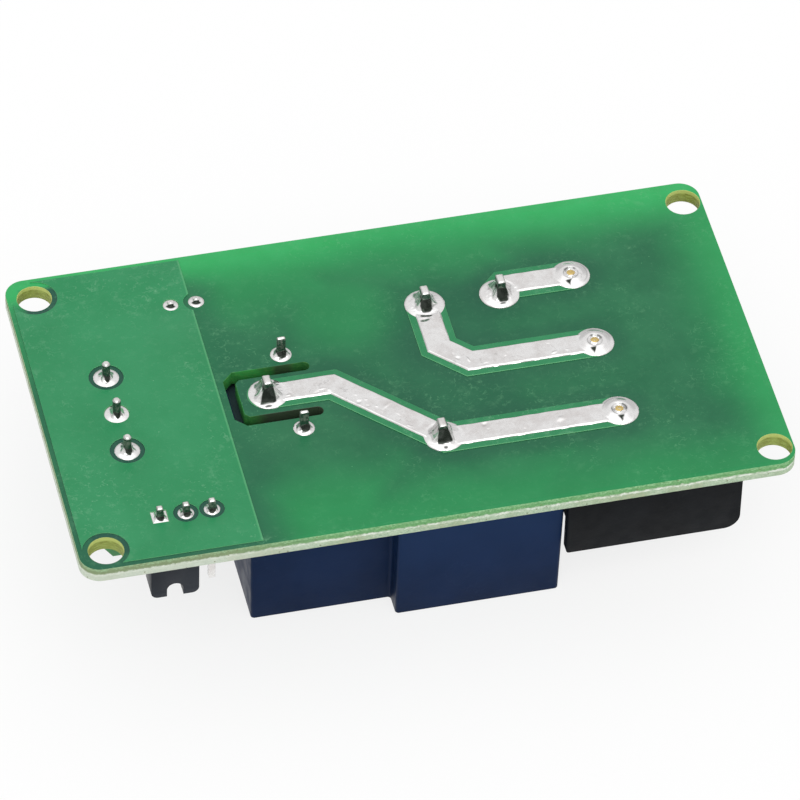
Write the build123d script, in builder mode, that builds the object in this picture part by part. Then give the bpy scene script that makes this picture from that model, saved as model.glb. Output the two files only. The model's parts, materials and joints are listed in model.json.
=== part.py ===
from build123d import *
import os

# Relay module board, in millimetres. The board lies with its solder side up (+Z) and rests on the top
# of its relay, which faces down. X runs along the board from the input end to the output end.
# The origin is below the board's centre, on the surface that the relay rests on.

# Circuit board
board_width = 39.5
board_thickness = 1.6
board_corner = 2.0
hole_diameter = 3.4
hole_from_input_end = 2.7
hole_from_output_end = 1.9
hole_from_far_edge = 2.75
hole_from_near_edge = 2.35
copper_thickness = 0.1
pin_grid = 2.54

# Copper on the solder side
edge_margin = 0.5
pour_to_relay = 0.45
hole_clearance = 2.25
track_width = 3.85
track_bend = 2.55
common_run = 6.5
tinned_width = 2.55
tinned_height = 0.22
tinned_bevel = 0.1

# Relay: a sealed case, narrower round the coil than round the contacts
relay_height = 17.8
relay_from_end = 22.05
relay_y = -0.5
relay_back = 4.05
relay_length = 30.75
relay_step = 10.1
relay_width = 27.2
relay_coil_width = 22.6
relay_draft = 0.25
relay_wall = 0.8
relay_roof = 1.2
relay_standoff = 0.4
relay_recess = 0.6
relay_corner = 0.35
relay_edge = 0.12
relay_foot = 2.0
vent_from_corner = (5.0, 5.3)
vent_radius = 1.6
vent_depth = 0.3
coil_pin = (0.85, 0.45)
contact_pin = (0.8, 1.3)
relay_pin_seat = 4.0
coil_pin_stand = 2.35
common_pin_stand = 2.2
contact_pin_stand = 2.05

# Slot milled round the relay's common pin
slot_width = 1.1
slot_reach = 3.2
slot_half_height = 3.08
slot_length = 7.55
slot_corner = 0.75

# Output terminal block: bays between fences, one screw and clamp plate in each
output_to_relay = 0.05
output_to_end = 3.95
output_y = -0.1
output_poles = 3
output_pitch = 9.5
output_back = 6.03
output_depth = 17.45
output_height = 11.7
fence_thickness = 1.1
fence_corner = 1.6
fence_back_corner = 0.3
bay_floor = 4.4
bay_back_wall = 1.2
bay_back_height = 7.6
bay_lip = 1.0
bay_skin = 1.0
contact_thickness = 1.0
contact_width = 7.4
contact_start = 3.0
contact_end = 10.2
contact_collar = 2.5
contact_collar_depth = 1.9
output_screw_x = 4.6
output_screw_radius = 1.7
output_screw_length = 3.6
output_head_radius = 3.0
output_head_height = 2.3
output_head_dome = 0.75
clamp_size = 6.8
clamp_thickness = 1.0
clamp_lip = 0.8
output_pin_radius = 0.42
output_pin_stand = 0.4
fit_clearance = 0.1

# Cross recess of the screws, as shares of the head's radius and height
recess_reach = 1.15
recess_width = 0.28
recess_depth = 0.6

# Input terminal block: a cage rises round each wire
input_from_end = 7.36
input_y = -0.03
input_poles = 3
input_pitch = 5.0
input_front = 4.2
input_back = 3.6
input_height = 10.0
input_end_wall = 0.15
input_shoulder = 6.8
input_chamfer = 1.1
entry_width = 3.2
entry_low = 2.1
entry_high = 5.7
cage_width = 3.7
cage_depth = 3.7
cage_low = 1.8
cage_high = 7.0
cage_wall = 0.5
cage_roof = 1.1
cage_play = 0.1
input_strip = 0.7
input_strip_width = 2.2
input_screw_radius = 1.25
input_head_radius = 1.9
input_head_height = 1.8
input_head_dome = 0.45
input_bore_radius = 2.05
input_pin_radius = 0.4
input_pin_stand = 2.05

# Jumper: three pins in a strip, with a cap over two of them
header_from_end = 11.11
header_from_edge = 5.55
header_pin = 0.64
header_reach = 7.8
header_stand = 1.4
header_base = 2.5
header_base_chamfer = 0.5
pin_tip = 0.15
cap_length = 4.7
cap_width = 2.5
cap_height = 5.8
cap_notch_width = 1.6
cap_notch_depth = 1.65
cap_corner = 0.7
cap_bore = 0.9
clip_thickness = 0.25
clip_length = 3.8
clip_height = 3.2

# Indicator lamp
led_from_end = 16.8
led_from_edge = 6.4
led_radius = 1.5
led_flange_radius = 1.85
led_flange_height = 1.0
led_height = 5.0
led_standoff = 0.3
led_lead = 0.5
led_lead_seat = 1.5

# Solder joints: pad radius, radius where the solder ends at the pin, rise, and how far down the slope its
# bend lies. A bend under half hollows the slope, and one over half rounds it.
input_joint = (1.25, 0.5, 0.95, 0.25)
coil_joint = (1.05, 0.55, 0.9, 0.25)
header_joint = (0.8, 0.47, 0.5, 0.3)
led_joint = (0.8, 0.42, 0.42, 0.7)
contact_joint = (2.0, 0.85, 1.4, 0.25)
output_joint = (1.92, 0.8, 0.35, 0.75)
plated_wall = 0.2
input_antipad = 1.7
header_antipad = 1.22
led_antipad = 1.25

# Surface-mounted parts: places from the input end, and from a long edge or the board's middle
coupler_offset = (14.4, 5.2)
coupler_size = (4.6, 6.5, 3.2)
coupler_lead_reach = 1.2
transistor_offset = (14.7, -8.2)
transistor_size = (2.9, 1.3, 1.0)
diode_offset = (14.5, -2.4)
diode_size = (2.6, 4.3, 2.2)
near_resistors = [(5.1, 8.55), (7.5, 8.55)]
far_resistors = [(10.8, 8.15), (8.5, 8.15)]
resistor_size = (1.25, 2.0, 0.5)
resistor_cap = 0.35
lamp_offset = (4.9, 7.15)
lamp_base_height = 0.35
lamp_lens_height = 0.45
lamp_lens_taper = 12
body_draft = 0.25
lead_thickness = 0.2
lead_knee = 0.45
lead_width = 0.4
coupler_lead_width = 1.0
transistor_lead_reach = 0.6
transistor_pitch = 0.95
diode_lead_reach = 0.6
diode_lead_width = 1.5

# Heights and places worked out from the sizes above. The board is as long as its parts need.
parts_length = relay_from_end - relay_back + relay_length + output_to_relay + output_depth
board_length = parts_length + output_to_end
output_end = board_length / 2
input_end = -output_end
far_edge = board_width / 2
near_edge = -far_edge
relay_x = input_end + relay_from_end
relay_left = relay_x - relay_back
relay_right = relay_left + relay_length
relay_step_x = relay_x + relay_step
output_x = relay_right + output_to_relay + output_back
input_x = input_end + input_from_end
header_x = input_end + header_from_end
header_y = near_edge + header_from_edge
led_x = input_end + led_from_end
led_y = far_edge - led_from_edge
component_face = relay_height
solder_face = component_face + board_thickness
mounting_holes = [
    (x, y)
    for x in (input_end + hole_from_input_end, output_end - hole_from_output_end)
    for y in (far_edge - hole_from_far_edge, near_edge + hole_from_near_edge)
]
coil_places = [(relay_x + pin_grid, relay_y + side * 2 * pin_grid) for side in (1, -1)]
common_place = (relay_x, relay_y)
second_common_place = (relay_x + 6 * pin_grid, relay_y - 3.5 * pin_grid)
closed_place = (relay_x + 7 * pin_grid, relay_y + 3.5 * pin_grid)
open_place = (relay_x + 10 * pin_grid, relay_y + 3.5 * pin_grid)
output_first = output_y + (output_poles - 1) / 2 * output_pitch
output_places = [(output_x, output_first - row * output_pitch) for row in range(output_poles)]
input_first = input_y + (input_poles - 1) / 2 * input_pitch
input_places = [(input_x, input_first - row * input_pitch) for row in range(input_poles)]
header_places = [(header_x + column * pin_grid, header_y) for column in (-1, 0, 1)]
led_places = [(led_x + side * pin_grid / 2, led_y) for side in (-1, 1)]
coil_hole = coil_pin[0] / 2 + plated_wall
contact_hole = contact_pin[1] / 2 + plated_wall
output_hole = output_pin_radius + plated_wall
input_hole = input_pin_radius + plated_wall
header_hole = header_pin / 2 + plated_wall
led_hole = led_lead / 2 + plated_wall
resistor_places = [(input_end + x, near_edge + y) for x, y in near_resistors]
resistor_places += [(input_end + x, far_edge - y) for x, y in far_resistors]
lamp_place = (input_end + lamp_offset[0], far_edge - lamp_offset[1])
coupler_place = (input_end + coupler_offset[0], coupler_offset[1])
transistor_place = (input_end + transistor_offset[0], transistor_offset[1])
diode_place = (input_end + diode_offset[0], diode_offset[1])


def level(height):
    """A level plane at a height off the component face, which faces down."""
    return Plane.XY.offset(component_face - height)


def side_view(x, y):
    """An upright plane along the board: its second axis is the height off the component face."""
    return Plane(origin=(x, y, component_face), x_dir=(1, 0, 0), z_dir=(0, 1, 0))


def end_view(x, y):
    """An upright plane across the board: its first axis is +Y, its second the height off the face."""
    return Plane(origin=(x, y, component_face), x_dir=(0, 1, 0), z_dir=(-1, 0, 0))


def write_piece(piece, node):
    """Name a finished piece and write it to its file."""
    piece.part.label = node
    export_step(piece.part, f"parts/{node}.step")


def strip(points, width, mode=Mode.ADD):
    """A flat strip of one width along a line of points, with round ends and outer corners."""
    with BuildLine(mode=Mode.PRIVATE) as route:
        Polyline(*points)
    outline = offset(route.line, amount=width / 2, side=Side.BOTH, mode=Mode.PRIVATE)
    make_face(outline.edges(), mode=mode)


def discs(places, radius, mode=Mode.SUBTRACT):
    with Locations(*places):
        Circle(radius, mode=mode)


def solder_joint(place, joint, hole_radius):
    """Solder that fills a plated hole and rises from its pad round the pin."""
    pad_radius, collar_radius, rise, bend = joint
    with BuildSketch(Plane(origin=(*place, solder_face), x_dir=(1, 0, 0), z_dir=(0, -1, 0))) as profile:
        with BuildLine():
            Polyline(
                (pad_radius, 0),
                (collar_radius + (pad_radius - collar_radius) * bend, rise * bend),
                (collar_radius, rise),
                (0, rise),
                (0, -board_thickness),
                (hole_radius, -board_thickness),
                (hole_radius, 0),
                close=True,
            )
        make_face()
    revolve(profile.sketch, axis=Axis((*place, 0), (0, 0, 1)))


def blade_pin(place, size, seat, stand):
    """A flat relay pin from its seat in the relay to its end above the solder side."""
    with BuildPart() as pin:
        with BuildSketch(level(seat)):
            with Locations(place):
                Rectangle(*size)
        extrude(amount=seat + board_thickness + stand)
        chamfer(pin.faces().sort_by(Axis.Z)[-1].edges(), pin_tip)
    return pin


# Circuit board
slot_left = relay_x - slot_reach
slot_low = relay_y - slot_half_height
slot_high = relay_y + slot_half_height
slot_end = slot_left + slot_length
slot_route = [
    (slot_end, slot_high),
    (slot_left + slot_corner, slot_high),
    (slot_left, slot_high - slot_corner),
    (slot_left, slot_low + slot_corner),
    (slot_left + slot_corner, slot_low),
    (slot_end, slot_low),
]
contact_places = [common_place, second_common_place, closed_place, open_place]
pin_holes = [
    (coil_places, coil_hole),
    (contact_places, contact_hole),
    (output_places, output_hole),
    (input_places, input_hole),
    (header_places, header_hole),
    (led_places, led_hole),
]

with BuildPart() as circuit_board:
    with BuildSketch(level(0)):
        RectangleRounded(board_length, board_width, board_corner)
        discs(mounting_holes, hole_diameter / 2)
        strip(slot_route, slot_width, Mode.SUBTRACT)
        for places, radius in pin_holes:
            discs(places, radius)
    extrude(amount=board_thickness)

# Copper pour at the input end, clear of the mounting holes and of the pads that it doesn't join
pour_start = input_end + edge_margin
pour_end = relay_left - pour_to_relay
pour_top = far_edge - edge_margin

with BuildPart() as ground_pour:
    with BuildSketch(Plane.XY.offset(solder_face)):
        with Locations(((pour_start + pour_end) / 2, 0)):
            Rectangle(pour_end - pour_start, 2 * pour_top)
        discs(mounting_holes[:2], hole_clearance)
        for (x, y), corner_y in zip(mounting_holes, (far_edge, near_edge)):
            with Locations(((input_end + x) / 2, (y + corner_y) / 2)):
                Rectangle(x - input_end, abs(corner_y - y), mode=Mode.SUBTRACT)
        discs([input_places[0], input_places[2]], input_antipad)
        discs([input_places[1]], input_joint[0])
        discs(header_places[1:], header_antipad)
        with Locations(header_places[0]):
            Rectangle(2 * header_joint[0], 2 * header_joint[0], mode=Mode.SUBTRACT)
        discs([led_places[0]], led_joint[0])
        discs([led_places[1]], led_antipad)
    extrude(amount=copper_thickness)

# Power tracks: masked copper with a tinned strip down the middle and a joint at each pin
output_open, output_closed, output_common = output_places
open_jog = output_open[1] - open_place[1]
common_drop = common_place[1] - output_common[1]
open_route = [open_place, (open_place[0] + open_jog, output_open[1]), output_open]
closed_route = [
    closed_place,
    (closed_place[0], output_closed[1] + track_bend),
    (closed_place[0] + track_bend, output_closed[1]),
    output_closed,
]
common_route = [
    common_place,
    (common_place[0] + common_run, common_place[1]),
    (common_place[0] + common_run + common_drop, output_common[1]),
    output_common,
]


def copper_track(route, pads):
    """The masked copper of a track, cut away where its pads are soldered."""
    with BuildPart() as track:
        with BuildSketch(Plane.XY.offset(solder_face)):
            strip(route, track_width)
            for place, joint in pads:
                discs([place], joint[0])
        extrude(amount=copper_thickness)
    return track


def track_solder(route, pads, pins):
    """The tinned strip of a track and the joints that it runs into."""
    with BuildPart() as solder:
        with BuildSketch(Plane.XY.offset(solder_face + copper_thickness)):
            strip(route, tinned_width)
        extrude(amount=tinned_height)
        chamfer(solder.faces().sort_by(Axis.Z)[-1].edges(), tinned_bevel)
        for place, joint in pads:
            solder_joint(place, joint, joint_holes[place])
        for pin in pins:
            add(pin.part, mode=Mode.SUBTRACT)
    return solder


# Relay pins
relay_pin_coil_a = blade_pin(coil_places[0], coil_pin, relay_pin_seat, coil_pin_stand)
relay_pin_coil_b = blade_pin(coil_places[1], coil_pin, relay_pin_seat, coil_pin_stand)
relay_pin_common_a = blade_pin(common_place, contact_pin, relay_pin_seat, common_pin_stand)
relay_pin_common_b = blade_pin(second_common_place, contact_pin, relay_pin_seat, contact_pin_stand)
relay_pin_closed = blade_pin(closed_place, contact_pin, relay_pin_seat, contact_pin_stand)
relay_pin_open = blade_pin(open_place, contact_pin, relay_pin_seat, contact_pin_stand)
relay_pins = {
    "relay_pin_coil_a": relay_pin_coil_a,
    "relay_pin_coil_b": relay_pin_coil_b,
    "relay_pin_common_a": relay_pin_common_a,
    "relay_pin_common_b": relay_pin_common_b,
    "relay_pin_closed": relay_pin_closed,
    "relay_pin_open": relay_pin_open,
}


# Relay case and base
def relay_section(height, inset=0, corner=0):
    """The case's outline at a height off the board, drawn in by its draft and an inset."""
    drawn_in = relay_draft * height / relay_height + inset
    left = relay_left + drawn_in
    right = relay_right - drawn_in
    step = relay_step_x + inset
    wide = relay_width / 2 - drawn_in
    narrow = relay_coil_width / 2 - drawn_in
    corners = [
        (left, relay_y - narrow),
        (step, relay_y - narrow),
        (step, relay_y - wide),
        (right, relay_y - wide),
        (right, relay_y + wide),
        (step, relay_y + wide),
        (step, relay_y + narrow),
        (left, relay_y + narrow),
    ]
    with BuildSketch(level(height)) as section:
        with BuildLine():
            if corner:
                FilletPolyline(*corners, radius=min(corner, (wide - narrow) / 3), close=True)
            else:
                Polyline(*corners, close=True)
        make_face()
    return section.sketch


with BuildPart() as relay_case:
    outside = [
        relay_section(relay_standoff, corner=relay_corner),
        relay_section(relay_height - relay_edge, corner=relay_corner),
        relay_section(relay_height, relay_edge, relay_corner),
    ]
    loft(outside, ruled=True)
    inside = [relay_section(height, relay_wall) for height in (relay_standoff, relay_height - relay_roof)]
    loft(inside, ruled=True, mode=Mode.SUBTRACT)
    vent_x = relay_left + vent_from_corner[0]
    vent_y = relay_y + relay_coil_width / 2 - vent_from_corner[1]
    with BuildSketch(level(relay_height)):
        with Locations((vent_x, vent_y)):
            Circle(vent_radius)
            Circle(vent_radius / 2, mode=Mode.SUBTRACT)
    extrude(amount=vent_depth, mode=Mode.SUBTRACT)

with BuildPart() as relay_base:
    base_height = relay_standoff + relay_recess
    filling = [relay_section(height, relay_wall) for height in (base_height, relay_height - relay_roof)]
    loft(filling, ruled=True)
    foot_inset = relay_wall + relay_foot
    foot_rows = [(relay_left + foot_inset, relay_coil_width), (relay_right - foot_inset, relay_width)]
    with BuildSketch(level(base_height)):
        for x, width in foot_rows:
            with Locations((x, relay_y)):
                with GridLocations(0, width - 2 * foot_inset, 1, 2):
                    Rectangle(relay_foot, relay_foot)
    extrude(amount=base_height)
    for pin in relay_pins.values():
        add(pin.part, mode=Mode.SUBTRACT)

# Output terminal block
output_half = output_pitch * output_poles / 2 + fence_thickness / 2
output_wall_back = -output_back
output_wall_front = output_depth - output_back
fence_offsets = [output_pitch * (step - output_poles / 2) for step in range(output_poles + 1)]

with BuildPart() as output_housing:
    with BuildSketch(side_view(output_x, output_y)):
        with BuildLine():
            Polyline(
                (output_wall_back, 0),
                (output_wall_front, 0),
                (output_wall_front, bay_floor - bay_lip),
                (output_wall_front - bay_lip, bay_floor),
                (output_wall_back + bay_back_wall, bay_floor),
                (output_wall_back + bay_back_wall, bay_back_height),
                (output_wall_back, bay_back_height),
                close=True,
            )
        make_face()
    extrude(amount=output_half, both=True)
    for offset_y in fence_offsets:
        with BuildSketch(side_view(output_x, output_y + offset_y)) as fence:
            with BuildLine():
                Polyline(
                    (output_wall_back, 0),
                    (output_wall_front, 0),
                    (output_wall_front, output_height),
                    (output_wall_back, output_height),
                    close=True,
                )
            make_face()
            tops = fence.vertices().group_by(Axis.Y)[-1].sort_by(Axis.X)
            fillet(tops[-1], fence_corner)
            tops = fence.vertices().group_by(Axis.Y)[-1].sort_by(Axis.X)
            fillet(tops[0], fence_back_corner)
        extrude(amount=fence_thickness / 2, both=True)
    screw_places = [(x + output_screw_x, y) for x, y in output_places]
    with BuildSketch(level(bay_floor)):
        discs(screw_places, contact_collar + fit_clearance, Mode.ADD)
    extrude(amount=bay_floor - bay_skin, mode=Mode.SUBTRACT)
    with BuildSketch(level(bay_floor)):
        discs(output_places, output_pin_radius + fit_clearance, Mode.ADD)
    extrude(amount=bay_floor, mode=Mode.SUBTRACT)


def output_contact(place):
    """A contact plate on the bay's floor, with a threaded collar for the screw and a pin for the board."""
    x, y = place
    with BuildPart() as contact:
        with BuildSketch(level(bay_floor)):
            with Locations((x + (contact_end - contact_start) / 2, y)):
                Rectangle(contact_start + contact_end, contact_width)
        extrude(amount=-contact_thickness)
        with BuildSketch(level(bay_floor)):
            with Locations((x + output_screw_x, y)):
                Circle(contact_collar)
        extrude(amount=contact_collar_depth)
        with BuildSketch(level(bay_floor)):
            with Locations(place):
                Circle(output_pin_radius)
        extrude(amount=bay_floor + board_thickness + output_pin_stand)
        with BuildSketch(level(bay_floor + contact_thickness)):
            with Locations((x + output_screw_x, y)):
                Circle(output_screw_radius)
        extrude(amount=contact_thickness + contact_collar_depth, mode=Mode.SUBTRACT)
    return contact


def output_clamp(place):
    """A square clamp plate with two edges turned towards the wire."""
    x, y = place
    top = bay_floor + contact_thickness + clamp_lip + clamp_thickness
    with BuildPart() as clamp:
        with BuildSketch(end_view(x + output_screw_x, y)):
            with BuildLine():
                Polyline(
                    (-clamp_size / 2, top - clamp_thickness - clamp_lip),
                    (-clamp_size / 2 + clamp_thickness, top - clamp_thickness - clamp_lip),
                    (-clamp_size / 2 + clamp_thickness, top - clamp_thickness),
                    (clamp_size / 2 - clamp_thickness, top - clamp_thickness),
                    (clamp_size / 2 - clamp_thickness, top - clamp_thickness - clamp_lip),
                    (clamp_size / 2, top - clamp_thickness - clamp_lip),
                    (clamp_size / 2, top),
                    (-clamp_size / 2, top),
                    close=True,
                )
            make_face()
        extrude(amount=clamp_size / 2, both=True)
        with BuildSketch(level(top)):
            with Locations((x + output_screw_x, y)):
                Circle(output_screw_radius + fit_clearance)
        extrude(amount=clamp_thickness, mode=Mode.SUBTRACT)
    return clamp


def pan_screw(place, under_head, head_radius, head_height, shank_radius, shank_length, dome):
    """A pan-head screw that points at the board, with a cross recess."""
    with BuildPart() as screw:
        with BuildSketch(level(under_head)):
            with Locations(place):
                Circle(head_radius)
        extrude(amount=-head_height)
        chamfer(screw.faces().sort_by(Axis.Z)[0].edges(), dome)
        with BuildSketch(level(under_head)):
            with Locations(place):
                Circle(shank_radius)
        extrude(amount=shank_length)
        with BuildSketch(level(under_head + head_height)):
            with Locations(place):
                Rectangle(head_radius * recess_reach, head_radius * recess_width)
                Rectangle(head_radius * recess_width, head_radius * recess_reach)
        extrude(amount=head_height * recess_depth, mode=Mode.SUBTRACT)
    return screw


output_contacts = {f"output_contact_{row + 1}": output_contact(p) for row, p in enumerate(output_places)}
output_clamps = {f"output_clamp_{row + 1}": output_clamp(p) for row, p in enumerate(output_places)}
output_screws = {
    f"output_screw_{row + 1}": pan_screw(
        p,
        bay_floor + contact_thickness + clamp_lip + clamp_thickness,
        output_head_radius,
        output_head_height,
        output_screw_radius,
        clamp_lip + clamp_thickness + output_screw_length,
        output_head_dome,
    )
    for row, p in enumerate(screw_places)
}

# Input terminal block
input_half = input_pitch * input_poles / 2 + input_end_wall
cavity_half = cage_depth / 2 + cage_play
strip_low = entry_high - input_strip
strip_back = cage_depth / 2 + cage_play + input_strip
head_seat = cage_high + cage_play

with BuildPart() as input_housing:
    with BuildSketch(side_view(input_x, input_y)):
        with BuildLine():
            Polyline(
                (-input_front, 0),
                (input_back, 0),
                (input_back, input_height - input_chamfer),
                (input_back - input_chamfer, input_height),
                (-input_front + 2 * input_chamfer, input_height),
                (-input_front, input_shoulder),
                close=True,
            )
        make_face()
    extrude(amount=input_half, both=True)
    for x, y in input_places:
        with BuildSketch(side_view(x, y)):
            with BuildLine():
                Polyline(
                    (-cavity_half, 0),
                    (strip_back + cage_play, 0),
                    (strip_back + cage_play, entry_high + cage_play),
                    (cavity_half, entry_high + cage_play),
                    (cavity_half, head_seat),
                    (-cavity_half, head_seat),
                    close=True,
                )
            make_face()
        extrude(amount=cage_width / 2 + cage_play, both=True, mode=Mode.SUBTRACT)
        with BuildSketch(end_view(x - input_front, y)):
            with Locations((0, (entry_low + entry_high) / 2)):
                Rectangle(entry_width, entry_high - entry_low)
        extrude(amount=-input_front, mode=Mode.SUBTRACT)
        with BuildSketch(level(input_height)):
            with Locations((x, y)):
                Circle(input_bore_radius)
        extrude(amount=input_height - head_seat, mode=Mode.SUBTRACT)


def input_cage(place):
    """A rectangular cage with a window for the wire and a threaded roof."""
    x, y = place
    with BuildPart() as cage:
        with BuildSketch(end_view(x, y)):
            with Locations((0, (cage_low + cage_high) / 2)):
                Rectangle(cage_width, cage_high - cage_low)
            with Locations((0, (cage_low + cage_wall + cage_high - cage_roof) / 2)):
                Rectangle(
                    cage_width - 2 * cage_wall,
                    cage_high - cage_roof - cage_low - cage_wall,
                    mode=Mode.SUBTRACT,
                )
        extrude(amount=cage_depth / 2, both=True)
        with BuildSketch(level(cage_high)):
            with Locations(place):
                Circle(input_screw_radius)
        extrude(amount=cage_roof, mode=Mode.SUBTRACT)
    return cage


def input_contact(place):
    """A bent strip through the cage's window, down its back and under it to the pin."""
    x, y = place
    with BuildPart() as contact:
        with BuildSketch(side_view(x, y)):
            with BuildLine():
                Polyline(
                    (-cage_depth / 2, strip_low),
                    (strip_back - input_strip, strip_low),
                    (strip_back - input_strip, 2 * input_strip),
                    (-input_pin_radius, 2 * input_strip),
                    (-input_pin_radius, input_strip),
                    (strip_back, input_strip),
                    (strip_back, entry_high),
                    (-cage_depth / 2, entry_high),
                    close=True,
                )
            make_face()
        extrude(amount=input_strip_width / 2, both=True)
        with BuildSketch(level(input_strip)):
            with Locations(place):
                Circle(input_pin_radius)
        extrude(amount=input_strip + board_thickness + input_pin_stand)
        chamfer(contact.faces().sort_by(Axis.Z)[-1].edges(), pin_tip)
    return contact


input_cages = {f"input_cage_{row + 1}": input_cage(p) for row, p in enumerate(input_places)}
input_contacts = {f"input_contact_{row + 1}": input_contact(p) for row, p in enumerate(input_places)}
input_screws = {
    f"input_screw_{row + 1}": pan_screw(
        p,
        head_seat,
        input_head_radius,
        input_head_height,
        input_screw_radius,
        head_seat - entry_high,
        input_head_dome,
    )
    for row, p in enumerate(input_places)
}


# Jumper header and cap
def header_pin_at(place):
    """A square pin with both ends bevelled."""
    with BuildPart() as pin:
        with BuildSketch(level(header_reach)):
            with Locations(place):
                Rectangle(header_pin, header_pin)
        extrude(amount=header_reach + board_thickness + header_stand)
        ends = pin.faces().sort_by(Axis.Z)
        chamfer(ends[0].edges() + ends[-1].edges(), pin_tip)
    return pin


header_pins = {f"header_pin_{column + 1}": header_pin_at(p) for column, p in enumerate(header_places)}

with BuildSketch() as header_block:
    Rectangle(pin_grid, header_base)
    chamfer(header_block.vertices(), header_base_chamfer)
    Rectangle(header_pin, header_pin, mode=Mode.SUBTRACT)

with BuildPart() as header_strip:
    with BuildSketch(level(0)):
        with Locations(*header_places):
            add(header_block.sketch)
    extrude(amount=-header_base)

cap_x = (header_places[0][0] + header_places[1][0]) / 2
cap_top = header_base + cap_height

with BuildPart() as jumper_cap:
    with BuildSketch(side_view(cap_x, header_y)) as front:
        with Locations((0, header_base + cap_height / 2)):
            Rectangle(cap_length, cap_height)
        fillet(front.vertices().group_by(Axis.Y)[-1], cap_corner)
        with Locations((0, cap_top)):
            SlotOverall(2 * cap_notch_depth, cap_notch_width, rotation=90, mode=Mode.SUBTRACT)
    extrude(amount=cap_width / 2, both=True)
    with BuildSketch(level(header_base)):
        with Locations(*header_places[:2]):
            Rectangle(cap_bore, cap_bore)
    extrude(amount=-cap_height, mode=Mode.SUBTRACT)
    with BuildSketch(level(header_base)):
        with Locations((cap_x, header_y + header_pin / 2 + clip_thickness / 2)):
            Rectangle(clip_length, clip_thickness)
    extrude(amount=-clip_height, mode=Mode.SUBTRACT)

with BuildPart() as jumper_clip:
    with BuildSketch(level(header_base)):
        with Locations((cap_x, header_y + header_pin / 2 + clip_thickness / 2)):
            Rectangle(clip_length, clip_thickness)
    extrude(amount=-clip_height)


# Indicator lamp
def led_lead_at(place):
    """A square lead, cut off just above its solder."""
    with BuildPart() as lead:
        with BuildSketch(level(led_lead_seat)):
            with Locations(place):
                Rectangle(led_lead, led_lead)
        extrude(amount=led_lead_seat + board_thickness + led_joint[2])
    return lead


led_leads = {f"led_lead_{side + 1}": led_lead_at(p) for side, p in enumerate(led_places)}

with BuildPart() as led_lens:
    with BuildSketch(side_view(led_x, led_y)):
        with BuildLine():
            CenterArc((0, led_height - led_radius), led_radius, 0, 90)
            Polyline(
                (led_radius, led_height - led_radius),
                (led_radius, led_standoff + led_flange_height),
                (led_flange_radius, led_standoff + led_flange_height),
                (led_flange_radius, led_standoff),
                (0, led_standoff),
                (0, led_height),
            )
        make_face()
    revolve(axis=Axis((led_x, led_y, 0), (0, 0, 1)))
    for lead in led_leads.values():
        add(lead.part, mode=Mode.SUBTRACT)

# Solder on the tracks and round the other pins
joint_holes = {place: contact_hole for place in contact_places}
joint_holes.update({place: output_hole for place in output_places})
contact_open, contact_closed, contact_common = output_contacts.values()
open_pads = [(open_place, contact_joint), (output_open, output_joint)]
closed_pads = [(closed_place, contact_joint), (output_closed, output_joint)]
common_pads = [
    (common_place, contact_joint),
    (second_common_place, contact_joint),
    (output_common, output_joint),
]
track_open = copper_track(open_route, open_pads)
track_closed = copper_track(closed_route, closed_pads)
track_common = copper_track(common_route, common_pads)
solder_open = track_solder(open_route, open_pads, [relay_pin_open, contact_open])
solder_closed = track_solder(closed_route, closed_pads, [relay_pin_closed, contact_closed])
solder_common = track_solder(
    common_route,
    common_pads,
    [relay_pin_common_a, relay_pin_common_b, contact_common],
)


def pin_solder(places, joint, hole_radius, pins):
    """The joints of one component's pins."""
    with BuildPart() as solder:
        for place in places:
            solder_joint(place, joint, hole_radius)
        for pin in pins:
            add(pin.part, mode=Mode.SUBTRACT)
    return solder


solder_coil = pin_solder(coil_places, coil_joint, coil_hole, [relay_pin_coil_a, relay_pin_coil_b])
solder_input = pin_solder(input_places, input_joint, input_hole, input_contacts.values())
solder_led = pin_solder(led_places, led_joint, led_hole, led_leads.values())

with BuildPart() as solder_header:
    with BuildSketch(Plane.XY.offset(solder_face)):
        with Locations(header_places[0]):
            Rectangle(2 * header_joint[0], 2 * header_joint[0])
    extrude(amount=copper_thickness)
    for place in header_places:
        solder_joint(place, header_joint, header_hole)
    for pin in header_pins.values():
        add(pin.part, mode=Mode.SUBTRACT)


# Surface-mounted parts
def moulded_body(place, size):
    """A moulded package: two drafted halves that meet at the height of its leads."""
    length, width, height = size
    with BuildPart() as body:
        for end in (lead_thickness, lead_thickness + height):
            with BuildSketch(level(lead_thickness + height / 2)):
                with Locations(place):
                    Rectangle(length, width)
            with BuildSketch(level(end)):
                with Locations(place):
                    Rectangle(length - body_draft, width - body_draft)
            loft()
    return body


def bent_leads(place, size, reach, width, positions):
    """Leads that leave a package's long sides, drop to the board and turn outwards."""
    x, y = place
    half = size[1] / 2
    middle = lead_thickness + size[2] / 2
    knee = half + lead_knee
    with BuildPart() as leads:
        for offset_x, side in positions:
            profile = [
                (half, middle + lead_thickness / 2),
                (knee, middle + lead_thickness / 2),
                (knee, lead_thickness),
                (half + reach, lead_thickness),
                (half + reach, 0),
                (knee - lead_thickness, 0),
                (knee - lead_thickness, middle - lead_thickness / 2),
                (half, middle - lead_thickness / 2),
            ]
            with BuildSketch(end_view(x + offset_x, y)):
                with BuildLine():
                    Polyline(*[(side * u, h) for u, h in profile], close=True)
                make_face()
            extrude(amount=width / 2, both=True)
    return leads


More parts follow.
